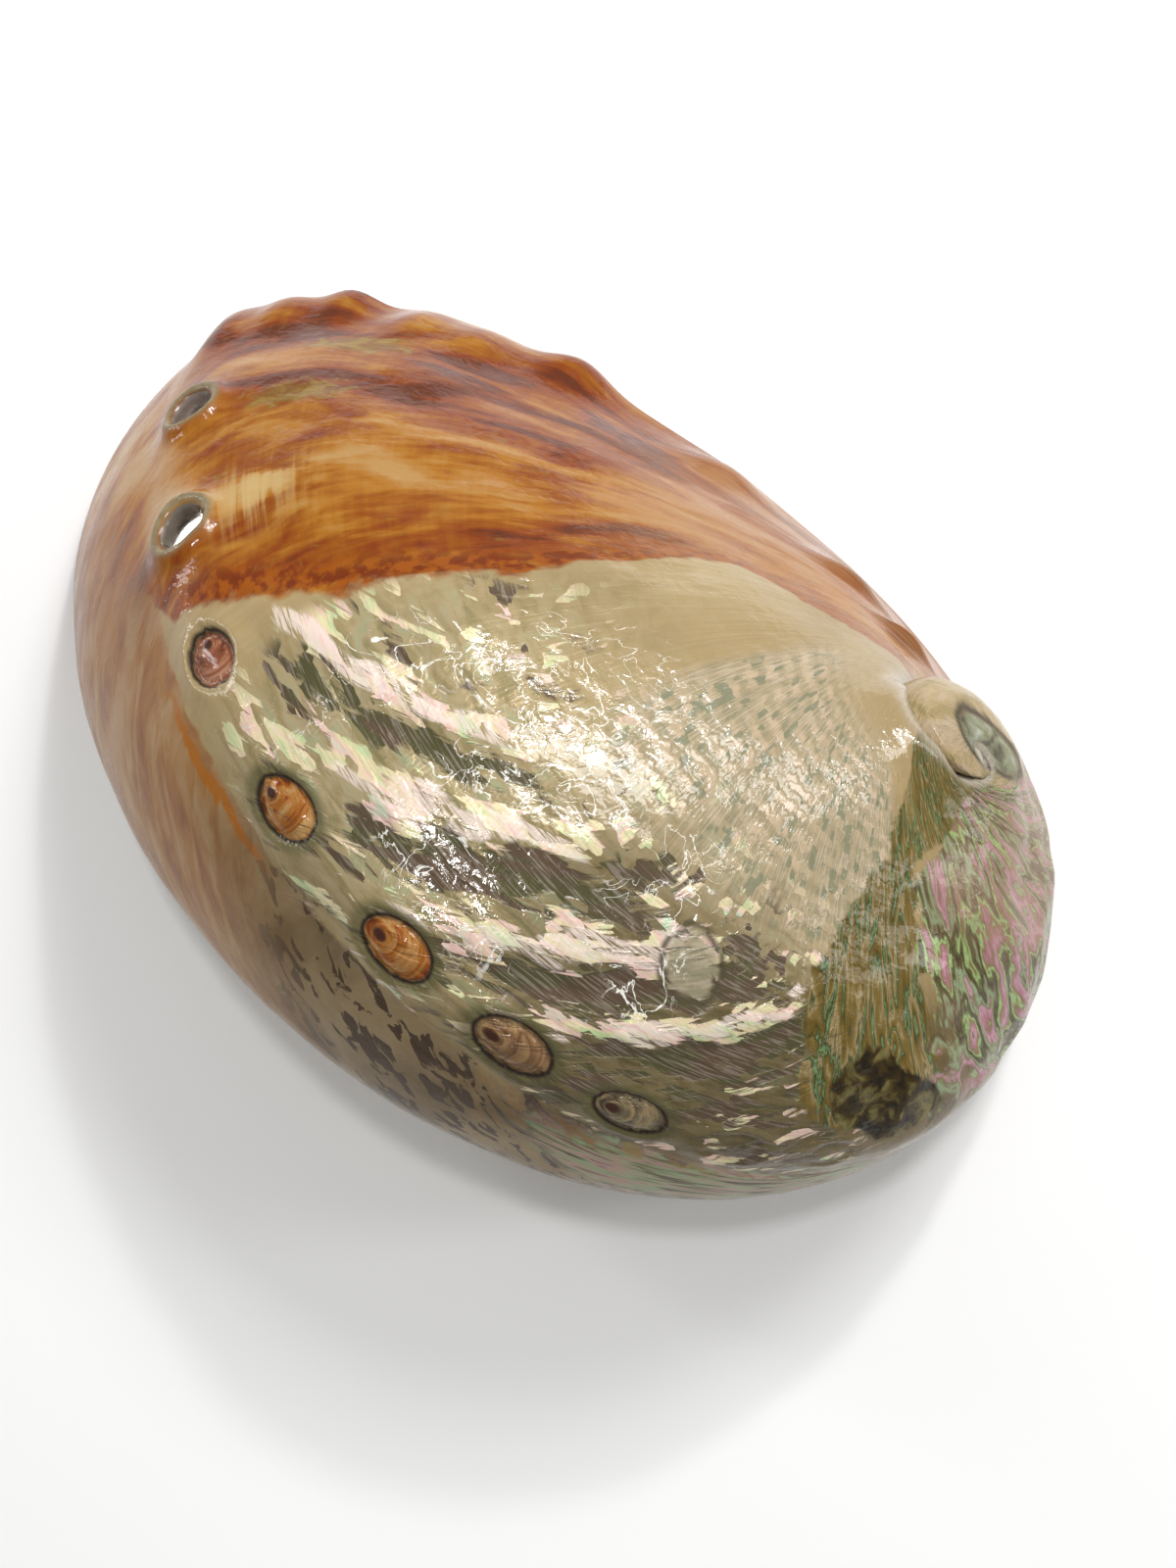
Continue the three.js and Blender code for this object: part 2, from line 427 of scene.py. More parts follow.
@dataclass(frozen=True)
class Relief:
    """All that stands above or below the smooth shell, except its wear."""

    growth: Growth
    row: HoleRow
    knob_age: float = 0.045
    knob_around: float = math.radians(3.6)
    knobs: tuple[Knob, ...] = (
        Knob(math.radians(147), 0.035, 2.2),
        Knob(math.radians(137), 0.035, 2.5),
        Knob(math.radians(127), 0.020, 3.0),
        Knob(math.radians(114), 0.060, 2.4),
        Knob(math.radians(105), 0.065, 2.2),
        Knob(math.radians(93), 0.030, 3.0),
        Knob(math.radians(70), 0.090, 1.8),
        Knob(math.radians(48), 0.260, 1.6),
        Knob(math.radians(33), 0.420, 1.5),
    )
    folds: tuple[float, ...] = (1.26, 1.56, 1.84, 2.14)
    fold_height: float = 1.15
    fold_spread: float = 0.050
    fold_centre: float = math.radians(119)
    fold_reach: float = math.radians(16)
    trough_after: float = 0.110
    slant: float = 0.83
    slant_from: float = math.radians(96)
    slant_ease: float = math.radians(5)
    suture_fill: float = 2.0

    def knob_height(self, age: np.ndarray, around: np.ndarray) -> np.ndarray:
        """The sum of all knobs, each a bell curve in age times one in around.

        Args:
            age: age of each point.
            around: place round the loop of each point.

        Returns:
            Millimetres above the smooth shell.
        """
        lift = np.zeros(age.shape)
        for knob in self.knobs:
            beside = turn_between(around, knob.around)
            lift = lift + knob.height * hump(age - knob.age, self.knob_age) * hump(beside, self.knob_around)
        return lift

    def slanted(self, age: np.ndarray, around: np.ndarray) -> np.ndarray:
        """Age as the folds follow it: they slant across old margins towards the row of holes."""
        beyond = (turn_between(around, self.slant_from)) / self.slant_ease
        return age + self.slant * self.slant_ease * np.log1p(np.exp(np.clip(beyond, -30.0, 30.0)))

    def ridges(self, age: np.ndarray, around: np.ndarray) -> tuple[np.ndarray, np.ndarray]:
        """How strongly each point lies on a fold's ridge, and in the trough on its older side.

        Args:
            age: age of each point.
            around: place round the loop of each point.

        Returns:
            Two maps, ridge and trough, bell curves across each fold.
        """
        where = hump(turn_between(around, self.fold_centre), self.fold_reach)
        slanted = self.slanted(age, around) + 0.032 * np.sin(9.0 * around + 7.0 * age)
        slanted = slanted + 0.016 * np.sin(25.0 * around - 11.0 * age)
        ridge, trough = np.zeros(age.shape), np.zeros(age.shape)
        for place in self.folds:
            ridge = ridge + hump(slanted - place, self.fold_spread)
            trough = trough + hump(slanted - place - self.trough_after, self.fold_spread)
        return ridge * where, trough * where

    def swell(self, age: np.ndarray, around: np.ndarray) -> np.ndarray:
        """Long low folds along old margins: fold_height * scale * (0.55 ridge - 0.45 trough).

        Args:
            age: age of each point.
            around: place round the loop of each point.

        Returns:
            Millimetres above the smooth shell.
        """
        ridge, trough = self.ridges(age, around)
        scale = np.exp(-self.growth.expansion * age)
        return self.fold_height * scale * (0.55 * ridge - 0.45 * trough)

    def lumps(self, age: np.ndarray, around: np.ndarray) -> np.ndarray:
        """Unevenness at three sizes, rougher towards the spire and on the older part.

        Args:
            age: age of each point.
            around: place round the loop of each point.

        Returns:
            Millimetres above the smooth shell.
        """
        level = self.growth.place(age, around, np.zeros(age.shape))
        dorsal = hump(turn_between(around, math.radians(95)), math.radians(60))
        old = ease(age, 1.9, 2.6) * (1 - ease(age, 6.0, 7.5))
        large = Unevenness(14.0, 11).at(level) * (0.15 + 0.45 * dorsal)
        middle = Unevenness(6.0, 12).at(level) * (0.05 + 0.18 * dorsal + 0.20 * dorsal * old)
        small = Unevenness(2.6, 13).at(level) * (0.01 + 0.06 * dorsal + 0.16 * dorsal * old)
        return large + middle + small

    def suture(self, age: np.ndarray, around: np.ndarray) -> np.ndarray:
        """Fills the crease between the body and the old whorl, from both sides of it.

        Args:
            age: age of each point.
            around: place round the loop of each point.

        Returns:
            Millimetres above the smooth shell.
        """
        body = hump(turn_between(around, math.radians(4)), math.radians(15))
        body = body * ease(age, 1.6, 2.1) * (1 - ease(age, 3.2, 4.0))
        whorl = hump(turn_between(around, math.radians(215)), math.radians(35))
        whorl = whorl * ease(age, 5.1, 5.5) * (1 - ease(age, 6.8, 7.4))
        return self.suture_fill * body + 0.6 * self.suture_fill * whorl

    def height(self, age: np.ndarray, around: np.ndarray) -> np.ndarray:
        """The whole relief, a sum of its parts, held flat right at the margin so that the rim is level.

        Args:
            age: age of each point.
            around: place round the loop of each point.

        Returns:
            Millimetres above the smooth shell.
        """
        total = self.row.keel(age, around) + self.knob_height(age, around) + self.suture(age, around)
        total = total + (self.swell(age, around) + self.lumps(age, around)) * ease(age, 0.0, 0.05)
        return total + self.row.relief(age, around)


@dataclass
class Shell:
    """The shell itself: two sheets that join at the margin and at the edges of the open holes."""

    growth: Growth = field(default_factory=Growth)
    rows: int = 280
    columns: int = 246
    inner_old_rows: int = 34
    shared_age: float = 0.62
    hollow_length: float = 1.62 * math.pi
    hollow_fade: float = 0.5 * math.pi
    lip_wall: float = 3.6
    wall_taper: float = 0.16
    ledge_wall: float = 2.4
    ledge_centre: float = math.radians(255.0)
    ledge_spread: float = math.radians(42.0)
    lip_share: float = 0.45
    lip_fade: float = 0.10
    hole_thinning: float = 0.55
    seam: float = math.radians(290.0)
    bore_rings: int = 4
    bore_waist: float = 0.10

    def __post_init__(self) -> None:
        """Makes the row of holes and the relief on the same growth."""
        self.row = HoleRow(self.growth)
        self.relief = Relief(self.growth, self.row)

    def ages(self) -> np.ndarray:
        """Spreads the rows: even in size of the shell, closer at the holes and at the very margin.

        Returns:
            The age of each row, where the summed density reaches equal shares.
        """
        scale = np.linspace(1.0, math.exp(-self.growth.expansion * self.growth.coil_length), 6000)
        age = -np.log(scale) / self.growth.expansion
        density = 1.0 + 9.0 * np.exp(-age / 0.006)
        for hole in self.row.holes:
            crowd = 2.0 if hole.kind is Kind.OPEN else 0.9
            density = density + crowd * hump(age - hole.age, 0.035)
        density = density * (1.0 - 0.45 * ease(age, 2.6, 4.5))
        total = np.concatenate(((0.0,), np.cumsum((density[1:] + density[:-1]) / 2)))
        found = np.interp(np.linspace(0.0, total[-1], self.rows), total, age)
        found[0] = 0.0
        return found

    def arounds(self) -> np.ndarray:
        """Spreads the columns right round: closer on the back and closest on the keel.

        Returns:
            The place of each column, where the summed density reaches equal shares.
        """
        place = np.linspace(self.seam - 2 * math.pi, self.seam, 6001)
        density = 0.5 + 1.0 * hump(turn_between(place, math.radians(100)), math.radians(48))
        density = density + 1.3 * hump(turn_between(place, self.row.around), math.radians(5.5))
        density = density + 0.9 * hump(turn_between(place, math.radians(20)), math.radians(25))
        total = np.concatenate(((0.0,), np.cumsum((density[1:] + density[:-1]) / 2)))
        return np.interp(np.linspace(0.0, total[-1], self.columns + 1)[:-1], total, place)

    def speed(self, age: np.ndarray, around: np.ndarray) -> np.ndarray:
        """How fast the surface runs: the length of a small step, over the step.

        Args:
            age: age of each point.
            around: place round the loop of each point.

        Returns:
            Millimetres for each radian of age.
        """
        flat = np.zeros(age.shape)
        moved = self.growth.place(age + SMALL_STEP, around, flat) - self.growth.place(age, around, flat)
        return np.linalg.norm(moved, axis=-1) / SMALL_STEP

    def wall(self, age: np.ndarray, around: np.ndarray) -> np.ndarray:
        """Thickness of the wall: thick at the ledge, thinner with age, at the lip and at open holes.

        Args:
            age: age of each point.
            around: place round the loop of each point.

        Returns:
            Millimetres.
        """
        ledge = self.ledge_wall * hump(turn_between(around, self.ledge_centre), self.ledge_spread)
        thick = (self.lip_wall + ledge) * np.exp(-self.wall_taper * age)
        thin = self.lip_share + (1.0 - self.lip_share) * ease(age, 0.0, self.lip_fade)
        for hole in (hole for hole in self.row.holes if hole.kind is Kind.OPEN):
            radius = np.hypot(*self.row.local(hole, age, around))
            thin = thin * (1.0 - self.hole_thinning * hump(np.maximum(radius - 1.0, 0.0), 0.9))
        return thick * thin

    def rounding(self, age: np.ndarray, around: np.ndarray) -> np.ndarray:
        """How far each sheet gives way at the lip, a quarter circle of half the wall in radius.

        Args:
            age: age of each point.
            around: place round the loop of each point.

        Returns:
            Millimetres, radius * (1 - the root of 1 - reach^2).
        """
        radius = self.wall(np.zeros(age.shape), around) / 2
        reach = np.clip(1.0 - age * self.speed(age, around) / radius, 0.0, 1.0)
        return radius * (1.0 - np.sqrt(1.0 - reach**2))

    def outer_sheet(self, age: np.ndarray, around: np.ndarray) -> np.ndarray:
        """The back: smooth shell plus relief, rounded at the lip and worn at the tip."""
        lift = self.relief.height(age, around) - self.rounding(age, around)
        return self.growth.worn(self.growth.place(age, around, lift))

    def inner_sheet(self, age: np.ndarray, around: np.ndarray) -> np.ndarray:
        """The nacre: a wall's thickness in, drawn to a round end deep in the coil.

        Args:
            age: age of each point.
            around: place round the loop of each point.

        Returns:
            Points in the maker's axes.
        """
        lift = self.rounding(age, around) - self.wall(age, around)
        points = self.growth.place(age, around, lift)
        left = np.clip((self.hollow_length - age) / self.hollow_fade, 0.0, 1.0)
        width = np.sqrt(1.0 - (1.0 - left) ** 2)[..., None]
        middle = points.mean(axis=1, keepdims=True)
        return middle + (points - middle) * width

    def shift(self) -> np.ndarray:
        """The move from the maker's axes to the shared frame: the two boxes share their centre.

        Returns:
            Millimetres along x, y and z.
        """
        low, high = self.growth.box()
        frame_low, frame_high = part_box(NODE)
        centre = (np.array(frame_low) + np.array(frame_high)) / 2 / MM
        moved = centre - (low + high) / 2
        moved[2] = 0.0
        return moved

    def weave(self, start: int, rows: int, gone: np.ndarray) -> np.ndarray:
        """Quads of one sheet, whose vertices start at a number and run row by row.

        Args:
            start: number of the sheet's first vertex.
            rows: how many rows the sheet has.
            gone: cells that are left out.

        Returns:
            Vertex numbers, four to a cell.
        """
        row, column = np.nonzero(~gone[: rows - 1])
        beside = (column + 1) % self.columns
        first, second = start + row * self.columns, start + (row + 1) * self.columns
        return np.stack((first + column, first + beside, second + beside, second + column), axis=-1)

    def bore(self, gone: np.ndarray) -> np.ndarray:
        """Edges round the openings, with the opening on the same side of each.

        Args:
            gone: cells that the openings leave out.

        Returns:
            Pairs of grid numbers.
        """
        framed = np.pad(gone, ((1, 1), (0, 0)))
        upright = framed[1:].astype(int) - np.roll(framed[1:], 1, axis=1)
        level = framed[1:].astype(int) - framed[:-1]
        row, column = np.nonzero(upright[:-1])
        sign = upright[row, column]
        first, second = row * self.columns + column, (row + 1) * self.columns + column
        sides = np.where(sign[:, None] > 0, np.stack((second, first), -1), np.stack((first, second), -1))
        row, column = np.nonzero(level)
        sign = level[row, column]
        first, second = row * self.columns + column, row * self.columns + (column + 1) % self.columns
        ends = np.where(sign[:, None] > 0, np.stack((first, second), -1), np.stack((second, first), -1))
        return np.concatenate((sides, ends))

    def build(self) -> bpy.types.Object:
        """Makes the one closed mesh with its two finishes and all that the finishes read.

        Returns:
            The finished piece, riding on the shell's body in place of the plain solid.
        """
        age, around = np.meshgrid(self.ages(), self.arounds(), indexing="ij")
        gone = self.row.fit_grid(age, around)
        shared = int(np.searchsorted(age[:, 0], self.shared_age))
        deep = np.linspace(0.0, 1.0, self.inner_old_rows + 1)[1:] ** 0.9
        deep_age = age[shared - 1, :1] + (self.hollow_length - age[shared - 1, :1]) * deep
        deep_age = deep_age[:-1, None] * np.ones((1, self.columns))
        deep_around = np.broadcast_to(around[-1], deep_age.shape)
        inner_age = np.concatenate((age[:shared], deep_age))
        inner_around = np.concatenate((around[:shared], deep_around))
        outer = self.outer_sheet(age, around)
        inner = self.inner_sheet(inner_age, inner_around)
        inner[0] = outer[0] = (outer[0] + inner[0]) / 2
        return self.mesh(age, around, outer, inner_age, inner_around, inner, gone)

    def mesh(
        self,
        age: np.ndarray,
        around: np.ndarray,
        outer: np.ndarray,
        inner_age: np.ndarray,
        inner_around: np.ndarray,
        inner: np.ndarray,
        gone: np.ndarray,
    ) -> bpy.types.Object:
        """Joins the sheets, the bores and the two round ends into one mesh.

        Args:
            age: ages of the outer sheet's grid.
            around: places round the loop of the outer sheet's grid.
            outer: points of the outer sheet, in millimetres.
            inner_age: ages of the inner sheet's grid.
            inner_around: places round the loop of the inner sheet's grid.
            inner: points of the inner sheet, in millimetres.
            gone: cells of both sheets that the openings leave out.

        Returns:
            The finished piece.
        """
        back_count, nacre_count = age.size, inner_age.size
        bore_edges = self.bore(gone)
        touched, local = np.unique(bore_edges, return_inverse=True)
        local = local.reshape(bore_edges.shape)
        flat_outer, flat_inner = outer.reshape(-1, 3), inner.reshape(-1, 3)
        share = (np.arange(1, self.bore_rings + 1) / (self.bore_rings + 1))[:, None, None]
        rings = flat_outer[touched] * (1 - share) + flat_inner[touched] * share
        nearer = age.ravel()[touched] > (self.row.holes[0].age + self.row.holes[1].age) / 2
        for side in (nearer, ~nearer):
            middle = rings[:, side].mean(axis=1, keepdims=True)
            waist = self.bore_waist * np.sin(math.pi * share)
            rings[:, side] += (middle - rings[:, side]) * waist
        ends = np.stack((outer[-1].mean(axis=0), inner[-1].mean(axis=0)))
        points = np.concatenate((flat_outer, flat_inner, rings.reshape(-1, 3), ends))
        points = points + self.shift()
        points[:, 2] = np.maximum(points[:, 2], 0.0)

        nacre_quads = self.weave(back_count, inner.shape[0], gone)[:, ::-1]
        on_margin = (nacre_quads >= back_count) & (nacre_quads < back_count + self.columns)
        nacre_quads = np.where(on_margin, nacre_quads - back_count, nacre_quads)
        levels = [bore_edges]
        first_ring = back_count + nacre_count
        for ring in range(self.bore_rings):
            levels.append(first_ring + ring * touched.size + local)
        levels.append(back_count + bore_edges)
        bore_quads = [
            np.stack((upper[:, 0], upper[:, 1], lower[:, 1], lower[:, 0]), axis=-1)
            for upper, lower in zip(levels[:-1], levels[1:])
        ]
        bore_quads = np.concatenate(bore_quads)
        quads = np.concatenate((self.weave(0, outer.shape[0], gone), nacre_quads, bore_quads))
        columns = np.arange(self.columns)
        beside = (columns + 1) % self.columns
        last_back, last_nacre = back_count - self.columns, back_count + nacre_count - self.columns
        pole = np.full(self.columns, len(points) - 2)
        triangles = np.concatenate(
            (
                np.stack((last_back + columns, last_back + beside, pole), axis=-1),
                np.stack((last_nacre + beside, last_nacre + columns, pole + 1), axis=-1),
            )
        )
        ring_ages = np.tile(age.ravel()[touched], self.bore_rings)
        ring_arounds = np.tile(around.ravel()[touched], self.bore_rings)
        all_ages = np.concatenate(
            (age.ravel(), inner_age.ravel(), ring_ages, age[-1, :1], inner_age[-1, :1])
        )
        all_arounds = np.concatenate(
            (around.ravel(), inner_around.ravel(), ring_arounds, around[-1, :1], inner_around[-1, :1])
        )
        is_nacre = np.zeros(len(quads) + len(triangles), dtype=np.int32)
        is_nacre[len(quads) - len(bore_quads) - len(nacre_quads) : len(quads)] = Layer.NACRE.value
        is_nacre[len(quads) + self.columns :] = Layer.NACRE.value
        return self.put_in_mesh(points, quads, triangles, all_ages, all_arounds, is_nacre)

    def put_in_mesh(
        self,
        points: np.ndarray,
        quads: np.ndarray,
        triangles: np.ndarray,
        ages: np.ndarray,
        arounds: np.ndarray,
        layers: np.ndarray,
    ) -> bpy.types.Object:
        """Writes the arrays into a mesh, without the points that no face uses.

        Args:
            points: all points, in millimetres of the shared frame.
            quads: faces of four corners.
            triangles: faces of three corners.
            ages: age of each point.
            arounds: place round the loop of each point.
            layers: material slot of each face, quads first.

        Returns:
            The piece, dressed and riding on its body.
        """
        corners = np.concatenate((quads.ravel(), triangles.ravel()))
        used, corners = np.unique(corners, return_inverse=True)
        corners = corners.ravel()
        points, ages, arounds = points[used], ages[used], arounds[used]
        totals = np.concatenate((np.full(len(quads), 4), np.full(len(triangles), 3)))
        starts = np.concatenate(((0,), np.cumsum(totals)[:-1]))
        corner_points = points[corners[: quads.size].reshape(-1, 4)]
        first_span = corner_points[:, 2] - corner_points[:, 0]
        spans = np.cross(first_span, corner_points[:, 3] - corner_points[:, 1])
        volume = np.einsum("ij,ij->", spans, corner_points.mean(axis=1)) / 6
        LOG.info("volume %.1f cm3 before any turning over", volume / 1000)

        shell_mesh = bpy.data.meshes.new("abalone_shell")
        shell_mesh.vertices.add(len(points))
        shell_mesh.vertices.foreach_set("co", (points * MM).astype(np.float32).ravel())
        shell_mesh.loops.add(len(corners))
        shell_mesh.loops.foreach_set("vertex_index", corners.astype(np.int32))
        shell_mesh.polygons.add(len(totals))
        shell_mesh.polygons.foreach_set("loop_start", starts.astype(np.int32))
        shell_mesh.polygons.foreach_set("loop_total", totals.astype(np.int32))
        shell_mesh.polygons.foreach_set("material_index", layers)
        shell_mesh.polygons.foreach_set("use_smooth", np.ones(len(totals), dtype=bool))
        grown = arounds[corners]
        quad_grown = grown[: quads.size].reshape(-1, 4)
        wraps = quad_grown.max(axis=1, keepdims=True) - quad_grown > math.pi
        quad_grown[wraps] += 2 * math.pi
        coordinates = np.stack((grown, ages[corners]), axis=-1).astype(np.float32)
        shell_mesh.uv_layers.new(name="grown").data.foreach_set("uv", coordinates.ravel())
        shell_mesh.update()
        shell_mesh.validate()
        if volume < 0:
            shell_mesh.flip_normals()
        for name, values in Zones(self).at(ages, arounds).items():
            layer = shell_mesh.attributes.new(name=name, type="FLOAT_VECTOR", domain="POINT")
            layer.data.foreach_set("vector", values.astype(np.float32).ravel())
        piece = bpy.data.objects.new("abalone_shell", shell_mesh)
        bpy.context.scene.collection.objects.link(piece)
        shell_mesh.materials.append(BackFinish().material())
        shell_mesh.materials.append(NacreFinish().material())
        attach(piece, "root")
        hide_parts(NODE)
        return piece


@dataclass
class Zones:
    """Soft maps over the shell that the finishes read, worked out at every point of the mesh.

    The lens lies by its centre in the shared frame. The scar lies by age and degrees, where
    scar_reach is the surface for each radian of them at the margin. Sizes are half lengths in
    millimetres.
    """

    shell: Shell
    lens_centre: tuple[float, float] = (56.8, 17.5)
    lens_heading: float = math.radians(-21)
    lens_size: tuple[float, float] = (6.3, 2.9)
    scar_age: float = 1.77
    scar_degrees: float = 106.0
    scar_size: tuple[float, float] = (4.2, 3.2)
    scar_reach: tuple[float, float] = (112.0, 44.0)

    def at(self, age: np.ndarray, around: np.ndarray) -> dict[str, np.ndarray]:
        """Works out all the n.

        Args:
            age: age of each point.
            around: place round the loop of each point.

        Returns:
            Named maps, three numbers for each point.
        """
        degrees = np.degrees(turn_between(around, math.radians(100))) + 100.0
        border = self.orange_border(degrees)
        near_row = hump(degrees - 122, 26)
        pearl = near_row * ease(age, 0.72, 0.9) * (1 - ease(age, 2.0, 2.5))
        comb = hump(degrees - 64, 23) * ease(age, 1.12, 1.3) * (1 - ease(age, 2.35, 2.5))
        slant = 2.52 + np.maximum(62.0 - degrees, 0.0) * 0.030
        spire = ease(age, slant - 0.22, slant + 0.32)
        strip_start = 2.10 + np.maximum(95.0 - degrees, 0.0) * 0.0085
        strips = ease(age, strip_start - 0.20, strip_start + 0.16)
        strips = strips * (1 - spire) * (1 - ease(degrees, 128, 142))
        side = ease(degrees, 150, 162)
        under = ease(degrees, 208, 226) + (1 - ease(degrees, 2, 20))
        radius, forward, number = self.shell.row.nearest(age, around)
        rough = hump(age - 2.33, 0.15) * hump(degrees - 124, 11)
        level = self.shell.growth.place(age, around, np.zeros(age.shape)) + self.shell.shift()
        aside = level[..., :2] - np.array(self.lens_centre)
        heading = np.array((math.cos(self.lens_heading), math.sin(self.lens_heading)))
        lengthwise = aside @ heading
        across = aside @ np.array((-heading[1], heading[0]))
        lens = np.hypot(lengthwise / self.lens_size[0], across / self.lens_size[1])
        scale = np.exp(-self.shell.growth.expansion * age)
        scar_older = (age - self.scar_age) * scale * self.scar_reach[0] / self.scar_size[0]
        scar_beside = np.radians(degrees - self.scar_degrees) * scale * self.scar_reach[1] / self.scar_size[1]
        scar = np.hypot(scar_older, scar_beside)
        # Where the painted glint highlight lines lie: the middle of the dome.
        glints = hump(degrees - 104, 19) * ease(age, 0.80, 0.95) * (1 - ease(age, 1.60, 1.85))
        ridge, trough = self.shell.relief.ridges(age, around)
        # Darker lower dome: partly the older shell's own colour, partly painted shade where the dome turns
        # down from the light.
        dark_dome_and_shade = ease(age, 1.15, 1.70) * ease(degrees, 84, 108) * (1 - ease(degrees, 200, 215))
        return {
            "colour_zones": np.stack((border - age, pearl, comb), axis=-1),
            "old_zones": np.stack((spire, strips, rough), axis=-1),
            "side_zones": np.stack((side, np.clip(under, 0, 1), degrees / 100), axis=-1),
            "fold_zones": np.stack((ridge, trough, dark_dome_and_shade), axis=-1),
            "slant_zones": np.stack((self.shell.relief.slanted(age, around), glints, scar), axis=-1),
            "whorl_zones": np.stack((ease(age, 4.4, 4.7), lens, np.zeros_like(age)), axis=-1),
            "hole_zones": np.stack((radius, forward, number), axis=-1),
        }

    def orange_border(self, degrees: np.ndarray) -> np.ndarray:
        """The age at which the orange ends, straight between places round the loop.

        Args:
            degrees: place round the loop of each point.

        Returns:
            An age for each point.
        """
        place = (0, 20, 30, 40, 50, 60, 75, 90, 120, 140, 152, 160, 175, 200, 220, 280)
        ends = (1.4, 1.12, 1.0, 0.87, 0.75, 0.67, 0.765, 0.82, 0.77, 0.68, 0.62, 0.5, 0.3, 0.15, 0.05, 0.02)
        return np.interp(degrees, place, ends)


Colour = tuple[float, float, float]
Stops = tuple[tuple[float, Colour], ...]
Socket = bpy.types.NodeSocket
Value = Socket | float
Shade = Socket | Colour


class Sockets:
    """A short way to lay out the nodes of one finish."""

    def __init__(self, name: str) -> None:
        """Starts a finish with its shader and its outlet.

        Args:
            name: what the finish is called.
        """
        self.made = bpy.data.materials.new(name)
        self.made.use_nodes = True
        self.tree = self.made.node_tree
        self.tree.nodes.clear()
        self.shader = self.tree.nodes.new("ShaderNodeBsdfPrincipled")
        outlet = self.tree.nodes.new("ShaderNodeOutputMaterial")
        self.tree.links.new(self.shader.outputs[0], outlet.inputs[0])

    def feed(self, target: Socket, source: Value | Shade) -> None:
        """Links a socket to a socket, or sets it to a number or a colour.

        Args:
            target: the socket that is fed.
            source: what goes into it.
        """
        if isinstance(source, bpy.types.NodeSocket):
            self.tree.links.new(source, target)
        elif isinstance(source, tuple) and len(source) == 3 and target.type == "RGBA":
            target.default_value = (*source, 1.0)
        else:
            target.default_value = source

    def shade(self, name: str, source: Value | Shade) -> None:
        """Feeds one input of the shader."""
        self.feed(self.shader.inputs[name], source)

    def node(self, kind: str, inputs: dict[str | int, Value | Shade], **settings: str) -> bpy.types.Node:
        """Makes a node, sets its choices and feeds its inputs.

        Args:
            kind: which node it is.
            inputs: what each input gets, by name or number.
            settings: the node's choices.

        Returns:
            The node.
        """
        made = self.tree.nodes.new(kind)
        for key, value in settings.items():
            setattr(made, key, value)
        for key, value in inputs.items():
            self.feed(made.inputs[key], value)
        return made

    def sum(self, operation: str, *values: Value) -> Socket:
        """One step of arithmetic."""
        return self.node("ShaderNodeMath", dict(enumerate(values)), operation=operation).outputs[0]

    def step(self, value: Value, low: float, high: float, start: float = 0.0, end: float = 1.0) -> Socket:
        """Eases from start to end while the value goes from low to high."""
        inputs = {0: value, 1: low, 2: high, 3: start, 4: end}
        return self.node("ShaderNodeMapRange", inputs, interpolation_type="SMOOTHSTEP").outputs[0]

    def bell(self, value: Value, centre: float, width: float) -> Socket:
        """1 at the centre and 0 a width away, on both sides."""
        away = self.sum("ABSOLUTE", self.sum("SUBTRACT", value, centre))
        return self.step(away, 0.0, width, 1.0, 0.0)

    def product(self, first: Value, second: Value) -> Socket:
        """The first times the second."""
        return self.sum("MULTIPLY", first, second)

    def mix(self, share: Value, first: Shade, second: Shade, blend: str = "MIX") -> Socket:
        """Mixes two colours."""
        inputs = {0: share, 6: first, 7: second}
        return self.node("ShaderNodeMix", inputs, data_type="RGBA", blend_type=blend).outputs[2]

    def parts(self, vector: Socket) -> tuple[Socket, ...]:
        """The three numbers of a vector."""
        return tuple(self.node("ShaderNodeSeparateXYZ", {0: vector}).outputs)

    def zones(self, name: str) -> tuple[Socket, ...]:
        """The three maps of one attribute."""
        return self.parts(self.node("ShaderNodeAttribute", {}, attribute_name=name).outputs["Vector"])

    def vector(self, x: Value, y: Value, z: Value = 0.0) -> Socket:
        """A vector of three numbers."""
        return self.node("ShaderNodeCombineXYZ", {0: x, 1: y, 2: z}).outputs[0]

    def stretched(self, vector: Socket, x: float, y: float, z: float = 1.0) -> Socket:
        """A vector with each number multiplied."""
        return self.node("ShaderNodeVectorMath", {0: vector, 1: (x, y, z)}, operation="MULTIPLY").outputs[0]

    def moved(self, vector: Socket, shift: Socket) -> Socket:
        """A vector with another added."""
        return self.node("ShaderNodeVectorMath", {0: vector, 1: shift}, operation="ADD").outputs[0]

    def noise(self, vector: Socket, scale: float, detail: float = 2.0, bend: float = 0.0) -> Socket:
        """Cloudy noise between 0 and 1."""
        inputs = {"Vector": vector, "Scale": scale, "Detail": detail, "Distortion": bend}
        return self.node("ShaderNodeTexNoise", inputs).outputs[0]

    def shake(self, vector: Socket, scale: float) -> Socket:
        """Cloudy noise in three directions."""
        return self.node("ShaderNodeTexNoise", {"Vector": vector, "Scale": scale, "Detail": 3.0}).outputs[1]

    def cells(self, vector: Socket, unevenness: float) -> tuple[Socket, ...]:
        """Three random numbers for each of many squarish cells.

        Args:
            vector: places, with cells of about one unit.
            unevenness: how far the cells stray from a grid, from 0 to 1.

        Returns:
            The three numbers.
        """
        inputs = {"Vector": vector, "Scale": 1.0, "Randomness": unevenness}
        made = self.node("ShaderNodeTexVoronoi", inputs, distance="CHEBYCHEV", feature="F1")
        return self.parts(made.outputs["Color"])

    def ramp(self, value: Socket, stops: Stops) -> Socket:
        """A colour ramp through the stops.

        Args:
            value: where on the ramp, from 0 to 1.
            stops: places on the ramp, each with its colour.

        Returns:
            The colour.
        """
        made = self.node("ShaderNodeValToRGB", {0: value})
        while len(made.color_ramp.elements) < len(stops):
            made.color_ramp.elements.new(0.5)
        for element, (place, colour) in zip(made.color_ramp.elements, stops):
            element.position = place
            element.color = (*colour, 1.0)
        return made.outputs[0]

